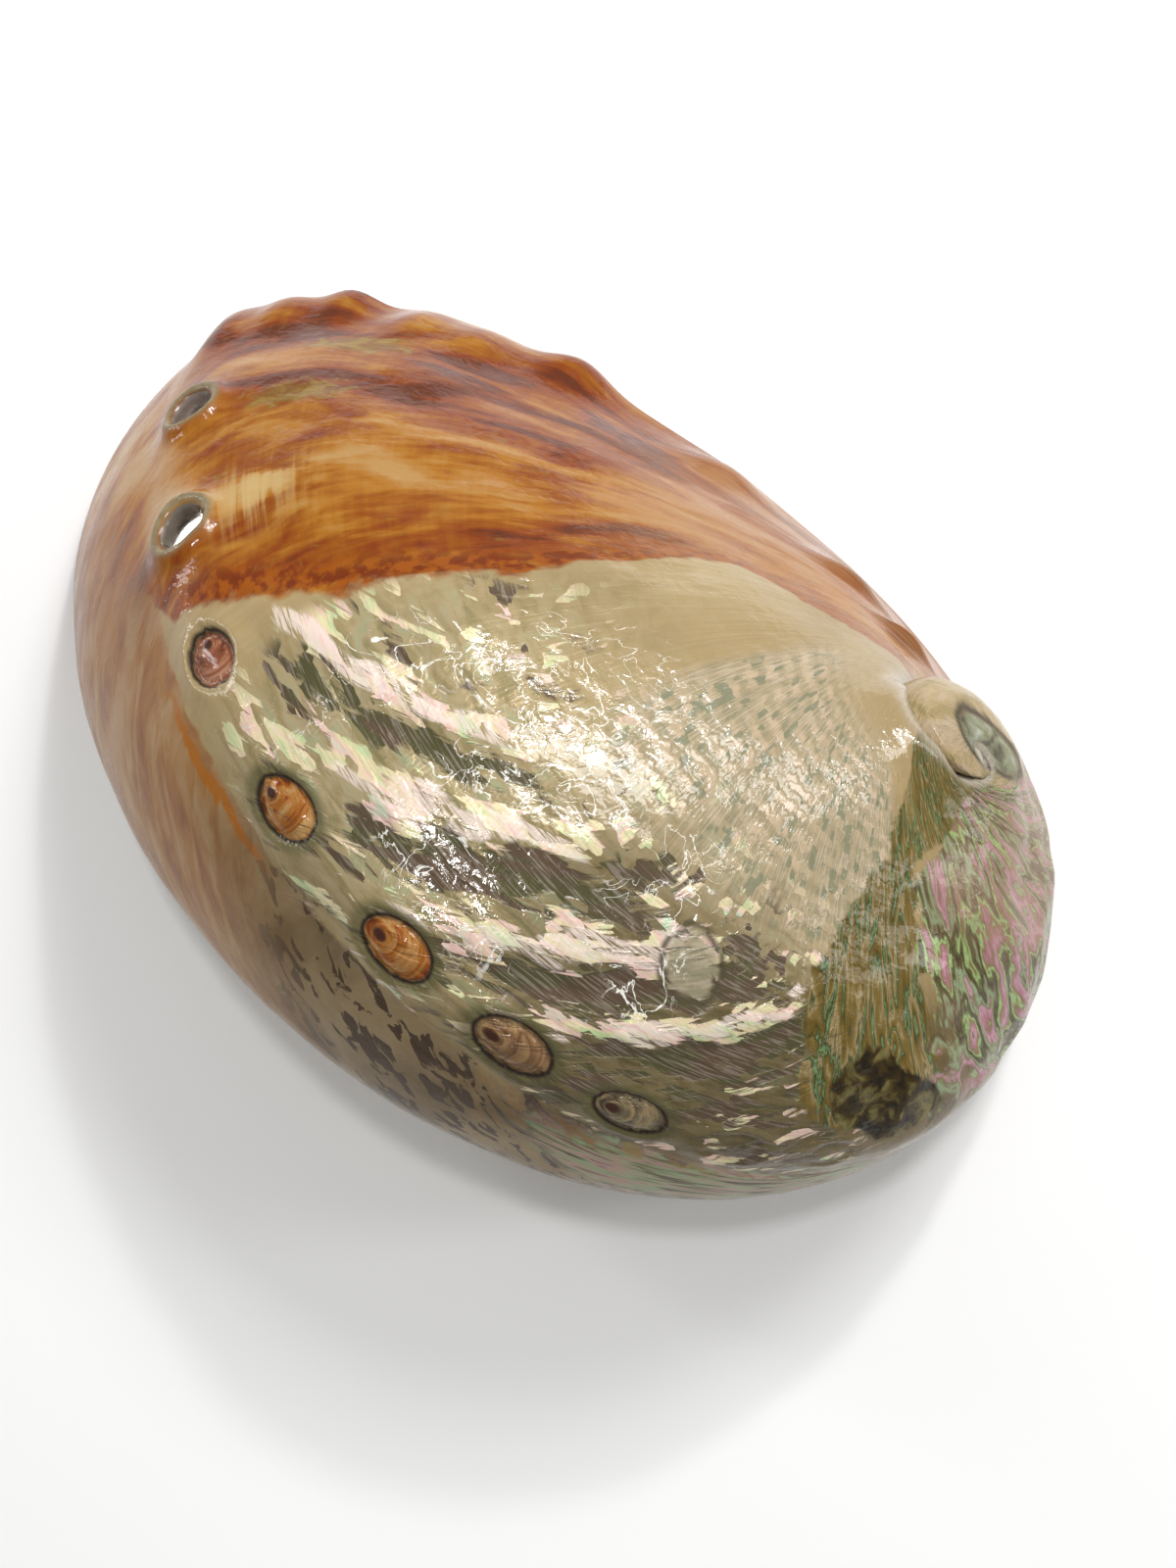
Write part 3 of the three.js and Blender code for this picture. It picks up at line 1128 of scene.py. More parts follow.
    def bump(self, height: Value, distance: float, strength: float, below: Socket | None = None) -> Socket:
        """Lifts the surface in the light by a height map.

        Args:
            height: the height map.
            distance: metres for a height of 1.
            strength: how much of it shows.
            below: another bump that this one lies on.

        Returns:
            The new normal.
        """
        inputs = {"Height": height, "Distance": distance, "Strength": strength}
        if below is not None:
            inputs["Normal"] = below
        return self.node("ShaderNodeBump", inputs).outputs[0]


class BackSockets(Sockets):
    """Nodes of the back, with all that it reads: places on the shell and the maps of its zones.

    grown holds around and age, place is in metres, and slope is grown with its age slanted as
    the folds are.
    """

    def __init__(self, name: str) -> None:
        """Starts the finish and reads every map once.

        Args:
            name: what the finish is called.
        """
        super().__init__(name)
        self.grown = self.node("ShaderNodeUVMap", {}, uv_map="grown").outputs[0]
        self.around, self.age, _ = self.parts(self.grown)
        self.place = self.node("ShaderNodeTexCoord", {}).outputs["Object"]
        self.inward, self.pearl, self.comb = self.zones("colour_zones")
        self.spire, self.strips, self.rough = self.zones("old_zones")
        self.side, self.under, self.degrees = self.zones("side_zones")
        self.ridge, self.trough, self.dark_dome_and_shade = self.zones("fold_zones")
        slanted, self.glints, self.scar = self.zones("slant_zones")
        self.whorl, self.lens, _ = self.zones("whorl_zones")
        self.radius, self.forward, self.number = self.zones("hole_zones")
        self.slope = self.vector(self.around, slanted)


@dataclass(frozen=True)
class PearlFinish:
    """Worn pearl of the dome: nacre blocks, dark shell, comb lines and one scar.

    Painted light lies on it too: highlight on the ridges, the tops of the folds and the comb's ribs, bright
    glint lines in the middle, and shade in the troughs, the grooves and the lower dome.
    """

    flow_stops: Stops = (
        (0.30, (0.46, 0.60, 0.30)),
        (0.42, (0.68, 0.62, 0.36)),
        (0.50, (0.74, 0.60, 0.38)),
        (0.60, (0.78, 0.50, 0.46)),
        (0.72, (0.50, 0.64, 0.44)),
    )
    worn_stops: Stops = (
        (0.34, (0.17, 0.16, 0.070)),
        (0.45, (0.27, 0.22, 0.105)),
        (0.56, (0.38, 0.31, 0.18)),
        (0.66, (0.30, 0.33, 0.19)),
    )
    # Groove and top colours of the comb: painted shade in the grooves, painted highlight on the ribs.
    comb_groove_shade: Colour = (0.35, 0.28, 0.160)
    comb_top_highlight: Colour = (0.48, 0.37, 0.25)
    dim_groove_shade: Colour = (0.29, 0.25, 0.145)
    dim_top_highlight: Colour = (0.42, 0.34, 0.22)
    comb_thread: Colour = (0.60, 0.48, 0.37)
    comb_brick: Colour = (0.20, 0.205, 0.125)
    # Colour of the painted highlight laid softly over the raised ribs.
    painted_rib_highlight: Colour = (0.70, 0.62, 0.50)
    # Olive-grey multiplied over the lower dome: its own darker colour and painted shade.
    dark_dome_and_shade_tint: Colour = (0.29, 0.265, 0.19)
    # Moss and bark: the dark shell, also used as painted shade in the fold troughs.
    moss: Colour = (0.075, 0.070, 0.026)
    bark: Colour = (0.095, 0.062, 0.036)
    dark_thread: Colour = (0.30, 0.25, 0.20)
    pearl_thread: Colour = (0.44, 0.37, 0.25)
    # Colour of the painted highlight along the tops of the folds.
    painted_crest_highlight: Colour = (0.86, 0.72, 0.64)
    scar_groove: Colour = (0.27, 0.24, 0.15)
    scar_top: Colour = (0.40, 0.34, 0.23)
    scar_edge: Colour = (0.075, 0.060, 0.030)
    # Colour of the painted glint highlight lines.
    glint: Colour = (0.98, 0.95, 0.86)

    def flow(self, n: Sockets, vector: Socket) -> Socket:
        """Mother-of-pearl colours that drift from gold through pink to green."""
        return n.ramp(n.noise(vector, 9.0, 2.0, 1.2), self.flow_stops)

    def ribs(self, n: BackSockets) -> Socket:
        """Height of the comb: the sine of around, wavy along old margins and faded in clouds.

        Args:
            n: the nodes of the back.

        Returns:
            0 in the grooves and up to 1 on the ribs.
        """
        wobble = n.noise(n.stretched(n.grown, 9.0, 34.0), 1.0, 3.0)
        rib = n.sum("SINE", n.sum("MULTIPLY_ADD", n.around, 84.0, n.product(wobble, 7.0)))
        rib = n.step(rib, -0.8, 0.7)
        fade = n.step(n.noise(n.stretched(n.grown, 3.0, 7.0), 1.0, 3.0), 0.40, 0.60)
        return n.product(rib, n.sum("MULTIPLY_ADD", fade, 0.7, 0.3))

    def combed(self, n: BackSockets, rib: Socket, brick: Socket) -> Socket:
        """Ribs lighter on top as painted highlight and darker in the grooves as painted shade, with pale
        threads along old margins, dimmer in some of the small bricks.

        Args:
            n: the nodes of the back.
            rib: height of the comb.
            brick: a random number for each brick.

        Returns:
            The colour of the comb.
        """
        full = n.mix(rib, self.comb_groove_shade, self.comb_top_highlight)
        dim = n.mix(rib, self.dim_groove_shade, self.dim_top_highlight)
        tone = n.mix(n.step(brick, 0.62, 0.70), full, dim)
        thread = n.noise(n.stretched(n.grown, 7.0, 170.0), 1.0, 2.0, 0.4)
        return n.mix(n.step(thread, 0.52, 0.60, 0.0, 0.55), tone, self.comb_thread)

    def marks(self, n: BackSockets, below: Socket, bands: Socket, uneven: Socket) -> Socket:
        """One oval scar with a dark edge, and thin bright wavy lines of painted glint highlight on the middle
        of the dome.

        Args:
            n: the nodes of the back.
            below: the colour that the marks lie on.
            bands: bands along the folds.
            uneven: a random number for each block, which makes the scar's edge uneven.

        Returns:
            The colour with its marks.
        """
        scarred = n.sum("MULTIPLY_ADD", uneven, 0.25, n.scar)
        lined = n.mix(n.step(bands, 0.4, 0.6), self.scar_groove, self.scar_top)
        tone = n.mix(n.step(scarred, 0.85, 1.05, 0.9, 0.0), below, lined)
        tone = n.mix(n.product(n.bell(scarred, 1.10, 0.20), 0.9), tone, self.scar_edge)
        # Painted highlight: thin near-white wavy glint lines, in broken patches over the middle of the dome.
        jagged = n.bell(n.noise(n.place, 150.0, 5.0, 1.5), 0.5, 0.012)
        sparse = n.step(n.noise(n.place, 75.0, 2.0), 0.47, 0.53)
        here = n.product(sparse, n.step(n.glints, 0.15, 0.40))
        return n.mix(n.product(jagged, here), tone, self.glint)

    def dress(self, n: BackSockets, ground: Socket) -> tuple[Socket, Socket]:
        """Lays the pearl over the ground.

        Blocks and bands together choose where bare nacre shows, drawn to the ridges as painted highlight,
        and where the dark shell shows, drawn to the troughs as painted shade and to the older dome.

        Args:
            n: the nodes of the back.
            ground: the colour of the plain middle of the shell.

        Returns:
            The colour, and the height that its blocks and comb lines stand.
        """
        slope = n.slope
        warped = n.moved(slope, n.stretched(n.shake(slope, 8.0), 0.12, 0.05))
        block, block_two, block_three = n.cells(n.stretched(warped, 21.0, 17.0), 0.9)
        brick, brick_two, _ = n.cells(n.stretched(warped, 24.0, 40.0), 0.45)
        drift = n.noise(n.stretched(slope, 4.0, 11.0), 1.0, 4.0, 0.6)
        bands = n.noise(n.stretched(slope, 7.0, 34.0), 1.0, 4.0, 0.8)
        hair = n.noise(n.stretched(slope, 120.0, 14.0), 1.0, 3.0, 0.4)
        rib = self.ribs(n)

        # Nacre shows where lit is high, drawn to the ridges as painted highlight.
        lit = n.sum("MULTIPLY_ADD", block, 0.42, n.product(bands, 0.58))
        lit = n.sum("MULTIPLY_ADD", n.ridge, 0.34, n.sum("MULTIPLY_ADD", n.trough, -0.20, lit))
        bright = n.product(n.step(lit, 0.65, 0.70), n.step(n.pearl, 0.12, 0.5))
        # The dark shell shows where dim is high: partly real dark patches, partly painted shade drawn into
        # the troughs.
        dim = n.sum("MULTIPLY_ADD", block_two, 0.32, n.product(drift, 0.66))
        dim = n.sum("MULTIPLY_ADD", n.trough, 0.40, n.sum("MULTIPLY_ADD", bands, -0.25, dim))
        dim = n.sum("MULTIPLY_ADD", n.dark_dome_and_shade, 0.14, n.sum("MULTIPLY_ADD", n.ridge, -0.20, dim))
        dark = n.product(n.step(dim, 0.50, 0.58), n.step(n.pearl, 0.2, 0.5))
        missing = n.step(n.sum("MULTIPLY_ADD", drift, 1.5, brick), 1.58, 1.66)
        missing = n.product(missing, n.step(n.comb, 0.4, 0.7))
        raised = n.product(rib, n.sum("MAXIMUM", n.comb, n.product(n.pearl, 0.5)))

        tone = n.mix(n.step(n.comb, 0.15, 0.8), ground, self.combed(n, rib, brick_two))
        mottle = n.noise(n.stretched(slope, 17.0, 11.0), 1.0, 5.0, 1.0)
        tone = n.mix(n.product(n.pearl, 0.85), tone, n.ramp(mottle, self.worn_stops))
        # Painted shade with the older colour: the lower dome multiplied darker.
        tone = n.mix(n.product(n.dark_dome_and_shade, 0.8), tone, self.dark_dome_and_shade_tint, "MULTIPLY")
        dark_shell_and_trough_shade = n.mix(n.step(drift, 0.42, 0.58), self.moss, self.bark)
        dark_shell_and_trough_shade = n.mix(n.step(hair, 0.50, 0.62, 0.0, 0.55), dark_shell_and_trough_shade, self.dark_thread)
        tone = n.mix(dark, tone, dark_shell_and_trough_shade)
        tone = n.mix(n.product(missing, 0.85), tone, self.comb_brick)
        nacre = n.mix(n.step(hair, 0.46, 0.60, 0.0, 0.45), self.flow(n, slope), self.pearl_thread)
        tone = n.mix(bright, tone, nacre)
        # Painted highlight: broken pink-white lines along the tops of the folds.
        broken = n.noise(n.stretched(slope, 6.0, 9.0), 1.0, 4.0, 1.0)
        painted_crest_highlight = n.step(n.sum("MULTIPLY_ADD", broken, 1.7, n.ridge), 1.46, 1.64)
        painted_crest_highlight = n.product(painted_crest_highlight, n.step(hair, 0.38, 0.52))
        tone = n.mix(n.product(painted_crest_highlight, 0.70), tone, self.painted_crest_highlight)
        # Painted highlight on the raised comb ribs.
        tone = n.mix(n.product(raised, 0.30), tone, self.painted_rib_highlight, "SOFT_LIGHT")
        tone = self.marks(n, tone, bands, block_three)

        worn = n.product(n.sum("SUBTRACT", bright, dark), 0.4)
        steps = n.product(block_three, n.sum("MAXIMUM", n.comb, n.pearl))
        height = n.sum("ADD", n.sum("MULTIPLY_ADD", raised, 0.40, worn), n.product(steps, 0.6))
        return tone, height


@dataclass(frozen=True)
class WallFinish:
    """The wall below the row of holes: peach when young, grey-brown and patched with age."""

    pearl: PearlFinish = PearlFinish()
    young_stops: Stops = (
        (0.34, (0.25, 0.105, 0.040)),
        (0.5, (0.33, 0.160, 0.050)),
        (0.66, (0.39, 0.245, 0.12)),
    )
    old_stops: Stops = ((0.36, (0.15, 0.100, 0.045)), (0.64, (0.29, 0.210, 0.110)))
    belt_stops: Stops = (
        (0.34, (0.07, 0.045, 0.022)),
        (0.42, (0.20, 0.15, 0.075)),
        (0.48, (0.25, 0.36, 0.18)),
        (0.54, (0.36, 0.28, 0.17)),
        (0.60, (0.44, 0.25, 0.22)),
        (0.68, (0.12, 0.10, 0.05)),
    )
    flame: Colour = (0.38, 0.120, 0.004)
    umber: Colour = (0.070, 0.042, 0.022)

    def dress(self, n: BackSockets, below: Socket) -> Socket:
        """Lays the wall over the rest, with an orange flame by the row and a pearly belt below.

        Args:
            n: the nodes of the back.
            below: the colour above the wall.

        Returns:
            The colour of both.
        """
        streak = n.noise(n.stretched(n.grown, 4.0, 20.0), 1.0, 5.0, 0.7)
        cloud = n.noise(n.place, 70.0, 5.0, 0.8)
        young, old = n.ramp(streak, self.young_stops), n.ramp(cloud, self.old_stops)
        wall = n.mix(n.step(n.age, 0.70, 1.10), young, old)
        beside_row = n.bell(n.sum("MULTIPLY_ADD", streak, 0.16, n.around), 2.87, 0.055)
        flame = n.product(beside_row, n.bell(n.age, 0.82, 0.26))
        wall = n.mix(n.step(flame, 0.2, 0.7, 0.0, 0.85), wall, self.flame)
        patch = n.noise(n.stretched(n.grown, 9.0, 22.0), 1.0, 4.0, 0.8)
        dark = n.product(n.step(patch, 0.53, 0.56), n.step(n.age, 0.85, 1.1))
        wall = n.mix(dark, wall, self.umber)
        late = n.product(n.step(patch, 0.44, 0.46, 1.0, 0.0), n.step(n.age, 1.2, 1.6))
        wall = n.mix(n.product(late, 0.8), wall, self.pearl.flow(n, n.grown), "SOFT_LIGHT")
        belt_streak = n.noise(n.stretched(n.grown, 24.0, 6.0), 1.0, 4.0, 0.7)
        low_on_wall = n.bell(n.sum("MULTIPLY_ADD", patch, 0.3, n.degrees), 1.90, 0.26)
        belt = n.product(low_on_wall, n.step(n.age, 1.25, 1.9))
        wall = n.mix(n.step(belt, 0.12, 0.42), wall, n.ramp(belt_streak, self.belt_stops))
        ragged = n.sum("MULTIPLY_ADD", n.noise(n.stretched(n.grown, 14.0, 14.0), 1.0, 3.0), 0.9, n.side)
        return n.mix(n.step(ragged, 0.85, 1.05), below, wall)


@dataclass(frozen=True)
class SpireFinish:
    """The oldest shell: long strips, contoured layers, a rough olive patch and the old whorl."""

    layer_stops: Stops = (
        (0.00, (0.040, 0.032, 0.008)),
        (0.10, (0.10, 0.11, 0.028)),
        (0.18, (0.30, 0.46, 0.17)),
        (0.27, (0.17, 0.12, 0.035)),
        (0.42, (0.34, 0.14, 0.18)),
        (0.56, (0.46, 0.25, 0.30)),
        (0.66, (0.15, 0.12, 0.045)),
        (0.78, (0.23, 0.32, 0.17)),
        (0.90, (0.10, 0.075, 0.020)),
        (1.00, (0.030, 0.022, 0.005)),
    )
    strip_stops: Stops = (
        (0.00, (0.035, 0.050, 0.016)),
        (0.10, (0.16, 0.24, 0.10)),
        (0.20, (0.040, 0.048, 0.012)),
        (0.30, (0.12, 0.078, 0.012)),
        (0.66, (0.18, 0.120, 0.028)),
        (0.86, (0.30, 0.23, 0.11)),
        (1.00, (0.06, 0.060, 0.014)),
    )
    crust_stops: Stops = (
        (0.38, (0.012, 0.007, 0.001)),
        (0.52, (0.045, 0.027, 0.003)),
        (0.68, (0.18, 0.15, 0.05)),
    )
    cream_stops: Stops = ((0.36, (0.33, 0.25, 0.11)), (0.54, (0.43, 0.32, 0.17)), (0.68, (0.46, 0.35, 0.23)))
    glass_stops: Stops = ((0.36, (0.06, 0.05, 0.015)), (0.50, (0.24, 0.24, 0.13)), (0.64, (0.42, 0.44, 0.34)))
    calm: Colour = (0.42, 0.28, 0.19)
    lens_ring: Colour = (0.050, 0.034, 0.008)
    contours: float = 4.4
    strip_contours: float = 6.0

    def dress(self, n: BackSockets, below: Socket) -> tuple[Socket, Socket]:
        """Worn layers, like a map of thin green, pink and dark contours, over the rest.

        Args:
            n: the nodes of the back.
            below: the colour of the rest.

        Returns:
            The colour, and the height of the worn layers.
        """
        drift = n.stretched(n.shake(n.place, 90.0), 0.45, 0.45)
        worn = n.noise(n.moved(n.stretched(n.grown, 1.5, 6.0), drift), 1.0, 5.0, 0.4)
        level = n.sum("FRACT", n.product(worn, self.contours))
        calmer = n.step(n.noise(n.place, 50.0, 3.0), 0.35, 0.65, 0.05, 0.45)
        layers = n.mix(calmer, n.ramp(level, self.layer_stops), self.calm)
        long = n.noise(n.stretched(n.grown, 2.2, 15.0), 1.0, 4.0, 0.5)
        strip = n.ramp(n.sum("FRACT", n.product(long, self.strip_contours)), self.strip_stops)
        crust = n.ramp(n.noise(n.place, 420.0, 4.0, 0.6), self.crust_stops)
        ragged = n.noise(n.place, 120.0, 5.0, 0.8)
        tone = n.mix(n.step(n.sum("MULTIPLY_ADD", ragged, 1.2, n.strips), 1.02, 1.14), below, strip)
        tone = n.mix(n.step(n.sum("MULTIPLY_ADD", ragged, 1.6, n.spire), 1.26, 1.36), tone, layers)
        tone = n.mix(n.step(n.sum("MULTIPLY_ADD", ragged, 1.3, n.rough), 1.10, 1.22), tone, crust)
        height = n.product(level, n.product(n.sum("ADD", n.spire, n.strips), 0.6))
        return tone, height

    def whorl(self, n: BackSockets) -> Socket:
        """The old whorl: cream like the body, with a small grey-green lens in a dark olive ring.

        Args:
            n: the nodes of the back.

        Returns:
            The colour.
        """
        cloud = n.noise(n.place, 240.0, 4.0, 1.0)
        cream, glass = n.ramp(cloud, self.cream_stops), n.ramp(cloud, self.glass_stops)
        uneven = n.sum("MULTIPLY_ADD", cloud, 0.30, n.sum("SUBTRACT", n.lens, 0.15))
        tone = n.mix(n.step(uneven, 0.74, 0.86, 1.0, 0.0), cream, glass)
        return n.mix(n.product(n.bell(uneven, 0.92, 0.24), 0.95), tone, self.lens_ring)


@dataclass(frozen=True)
class YoungFinish:
    """The newest shell: rust and amber streaks, honey in the middle, mauve at the edges."""

    red_brown: Colour = (0.11, 0.020, 0.002)
    rust: Colour = (0.22, 0.040, 0.0004)
    amber: Colour = (0.265, 0.073, 0.0015)
    honey: Colour = (0.37, 0.145, 0.012)
    peach: Colour = (0.42, 0.230, 0.070)
    light_edge: Colour = (0.30, 0.072, 0.0008)
    dark_edge: Colour = (0.16, 0.024, 0.0002)
    # Colours of a painted highlight patch on the young shell.
    gold: Colour = (0.46, 0.27, 0.05)
    pale_gold: Colour = (0.72, 0.62, 0.34)
    mauve: Colour = (0.42, 0.25, 0.17)
    shoulder: Colour = (0.38, 0.195, 0.080)
    olive: Colour = (0.17, 0.085, 0.005)
    pale_olive: Colour = (0.25, 0.17, 0.025)

    def edge(self, n: BackSockets, below: Socket) -> Socket:
        """A spotted rust band where the newest shell ends on the back.

        Args:
            n: the nodes of the back.
            below: the colour that the band lies on.

        Returns:
            The colour of both.
        """
        patchy = n.step(n.noise(n.stretched(n.grown, 14.0, 34.0), 1.0, 3.0), 0.30, 0.44)
        band = n.product(n.bell(n.inward, 0.03, 0.060), patchy)
        band = n.product(band, n.step(n.degrees, 1.42, 1.56, 1.0, 0.0))
        spots = n.step(n.noise(n.stretched(n.grown, 22.0, 40.0), 1.0, 3.0), 0.42, 0.58)
        return n.mix(band, below, n.mix(spots, self.light_edge, self.dark_edge))

    def dress(self, n: BackSockets) -> Socket:
        """Streaks along old margins, crossed by a faint fan of lines towards the margin.

        Args:
            n: the nodes of the back.

        Returns:
            The colour.
        """
        broad = n.noise(n.stretched(n.grown, 3.0, 13.0), 1.0, 6.0, 0.8)
        fine = n.noise(n.stretched(n.grown, 6.0, 70.0), 1.0, 3.0, 0.3)
        fan = n.noise(n.stretched(n.grown, 42.0, 5.0), 1.0, 2.0)
        value = n.sum("MULTIPLY_ADD", fine, 0.17, n.product(broad, 0.75))
        value = n.sum("MULTIPLY_ADD", fan, 0.08, n.sum("ADD", value, 0.022))
        value = n.sum("MULTIPLY_ADD", n.bell(n.inward, 0.26, 0.18), 0.12, value)
        value = n.sum("MULTIPLY_ADD", n.step(n.inward, 0.40, 0.60), -0.02, n.sum("SUBTRACT", value, 0.035))
        colours = (self.red_brown, self.rust, self.amber, self.honey, self.peach)
        tone = n.ramp(value, tuple(zip((0.38, 0.45, 0.51, 0.59, 0.70), colours)))
        tone = self.edge(n, tone)

        # Painted highlight: a pale gold patch on the young shell near the middle.
        painted_gleam = n.product(n.bell(n.degrees, 1.30, 0.13), n.bell(n.age, 0.52, 0.10))
        painted_gleam = n.product(painted_gleam, n.step(n.sum("ADD", broad, fan), 0.9, 1.1))
        tone = n.mix(n.product(painted_gleam, 0.55), tone, n.mix(fan, self.gold, self.pale_gold))
        wavy = n.sum("MULTIPLY_ADD", broad, 0.10, n.age)
        line = n.product(n.bell(wavy, 0.30, 0.022), n.bell(n.degrees, 0.86, 0.32))
        tone = n.mix(line, tone, self.red_brown)
        mauve = n.product(n.step(n.degrees, 0.85, 0.50), n.step(n.age, 0.60, 0.25))
        tone = n.mix(n.product(mauve, n.step(broad, 0.44, 0.58)), tone, self.mauve)
        shoulder = n.product(n.step(n.degrees, 0.88, 0.60), n.step(fine, 0.35, 0.60, 0.65, 0.30))
        tone = n.mix(shoulder, tone, self.shoulder)
        first = n.product(n.bell(n.degrees, 1.20, 0.13), n.bell(wavy, 0.215, 0.055))
        second = n.product(n.bell(n.degrees, 1.26, 0.13), n.bell(wavy, 0.35, 0.055))
        mottled = n.noise(n.stretched(n.grown, 16.0, 40.0), 1.0, 4.0, 0.8)
        stained = n.sum("ADD", n.sum("ADD", first, second), n.sum("MULTIPLY_ADD", mottled, 1.6, -0.80))
        stain = n.mix(n.step(mottled, 0.40, 0.62), self.olive, self.pale_olive)
        return n.mix(n.product(n.step(stained, 0.15, 0.6), 0.75), tone, stain)


@dataclass(frozen=True)
class HoleFinish:
    """Rims, moats darkened as painted shade, and plugs with a dark kernel at the growing end.

    Holes are told apart by their number in the row, from 0 at the margin. Stops between whole
    numbers divide the open ones, the closing one, the plugged ones and the faint ones.
    """

    amber_stops: Stops = (
        (0.36, (0.20, 0.035, 0.003)),
        (0.5, (0.33, 0.11, 0.010)),
        (0.66, (0.46, 0.26, 0.09)),
    )
    red_stops: Stops = ((0.36, (0.12, 0.030, 0.012)), (0.5, (0.27, 0.085, 0.035)), (0.66, (0.42, 0.22, 0.13)))
    grey_stops: Stops = ((0.36, (0.07, 0.045, 0.02)), (0.5, (0.18, 0.14, 0.08)), (0.66, (0.34, 0.24, 0.11)))
    kernel: Colour = (0.05, 0.012, 0.004)
    halo: Colour = (0.11, 0.10, 0.036)
    # Near-black painted shade for the narrow moat round each plug.
    moat: Colour = (0.025, 0.012, 0.004)
    rim_dark: Colour = (0.15, 0.12, 0.055)
    rim_light: Colour = (0.34, 0.27, 0.16)
    kernel_place: float = 0.55

    def plug(self, n: BackSockets) -> Socket:
        """A plug's colour: layers round the kernel, red in the closing hole and grey in old ones.

        The distance from the kernel is the root of radius^2 - 2 * place * forward + place^2.

        Args:
            n: the nodes of the back.

        Returns:
            The colour.
        """
        away, number = self.kernel_place, n.number
        squared = n.sum("MULTIPLY_ADD", n.radius, n.radius, away * away)
        squared = n.sum("MULTIPLY_ADD", n.forward, -2.0 * away, squared)
        from_kernel = n.sum("SQRT", n.sum("MAXIMUM", squared, 0.0))
        grain = n.noise(n.vector(n.product(from_kernel, 1.7), n.forward, number), 1.7, 4.0, 1.2)
        kinds = (self.amber_stops, self.red_stops, self.grey_stops)
        amber, red, grey = (n.ramp(grain, stops) for stops in kinds)
        tone = n.mix(n.step(number, 4.4, 5.4), amber, grey)
        tone = n.mix(n.step(number, 2.4, 2.6, 1.0, 0.0), tone, red)
        return n.mix(n.step(from_kernel, 0.14, 0.30, 1.0, 0.0), tone, self.kernel)

    def dress(self, n: BackSockets, below: Socket) -> Socket:
        """Lays halo, plug, moat and rim over the rest, each by the distance from its hole; the moat is
        painted shade.

        Args:
            n: the nodes of the back.
            below: the colour of the rest.

        Returns:
            The colour of both.
        """
        radius, number = n.radius, n.number
        shut = n.step(number, 1.4, 1.6)
        solid = n.product(shut, n.step(number, 6.4, 6.6, 1.0, 0.0))
        plugged = n.product(solid, n.step(number, 2.4, 2.6))
        halo = n.product(n.bell(radius, 1.2, 0.42), n.product(plugged, 0.75))
        tone = n.mix(halo, below, self.halo)
        inside = n.product(n.step(radius, 0.96, 1.02, 1.0, 0.0), solid)
        tone = n.mix(inside, tone, self.plug(n))
        # Painted shade: the narrow moat between plug and pit wall darkened nearly to black.
        tone = n.mix(n.product(n.bell(radius, 1.04, 0.12), solid), tone, self.moat)
        rim = n.product(n.bell(radius, 1.25, 0.36), n.sum("SUBTRACT", 1.0, shut))
        mottled = n.mix(n.noise(n.place, 900.0, 3.0, 0.5), self.rim_dark, self.rim_light)
        return n.mix(rim, tone, mottled)


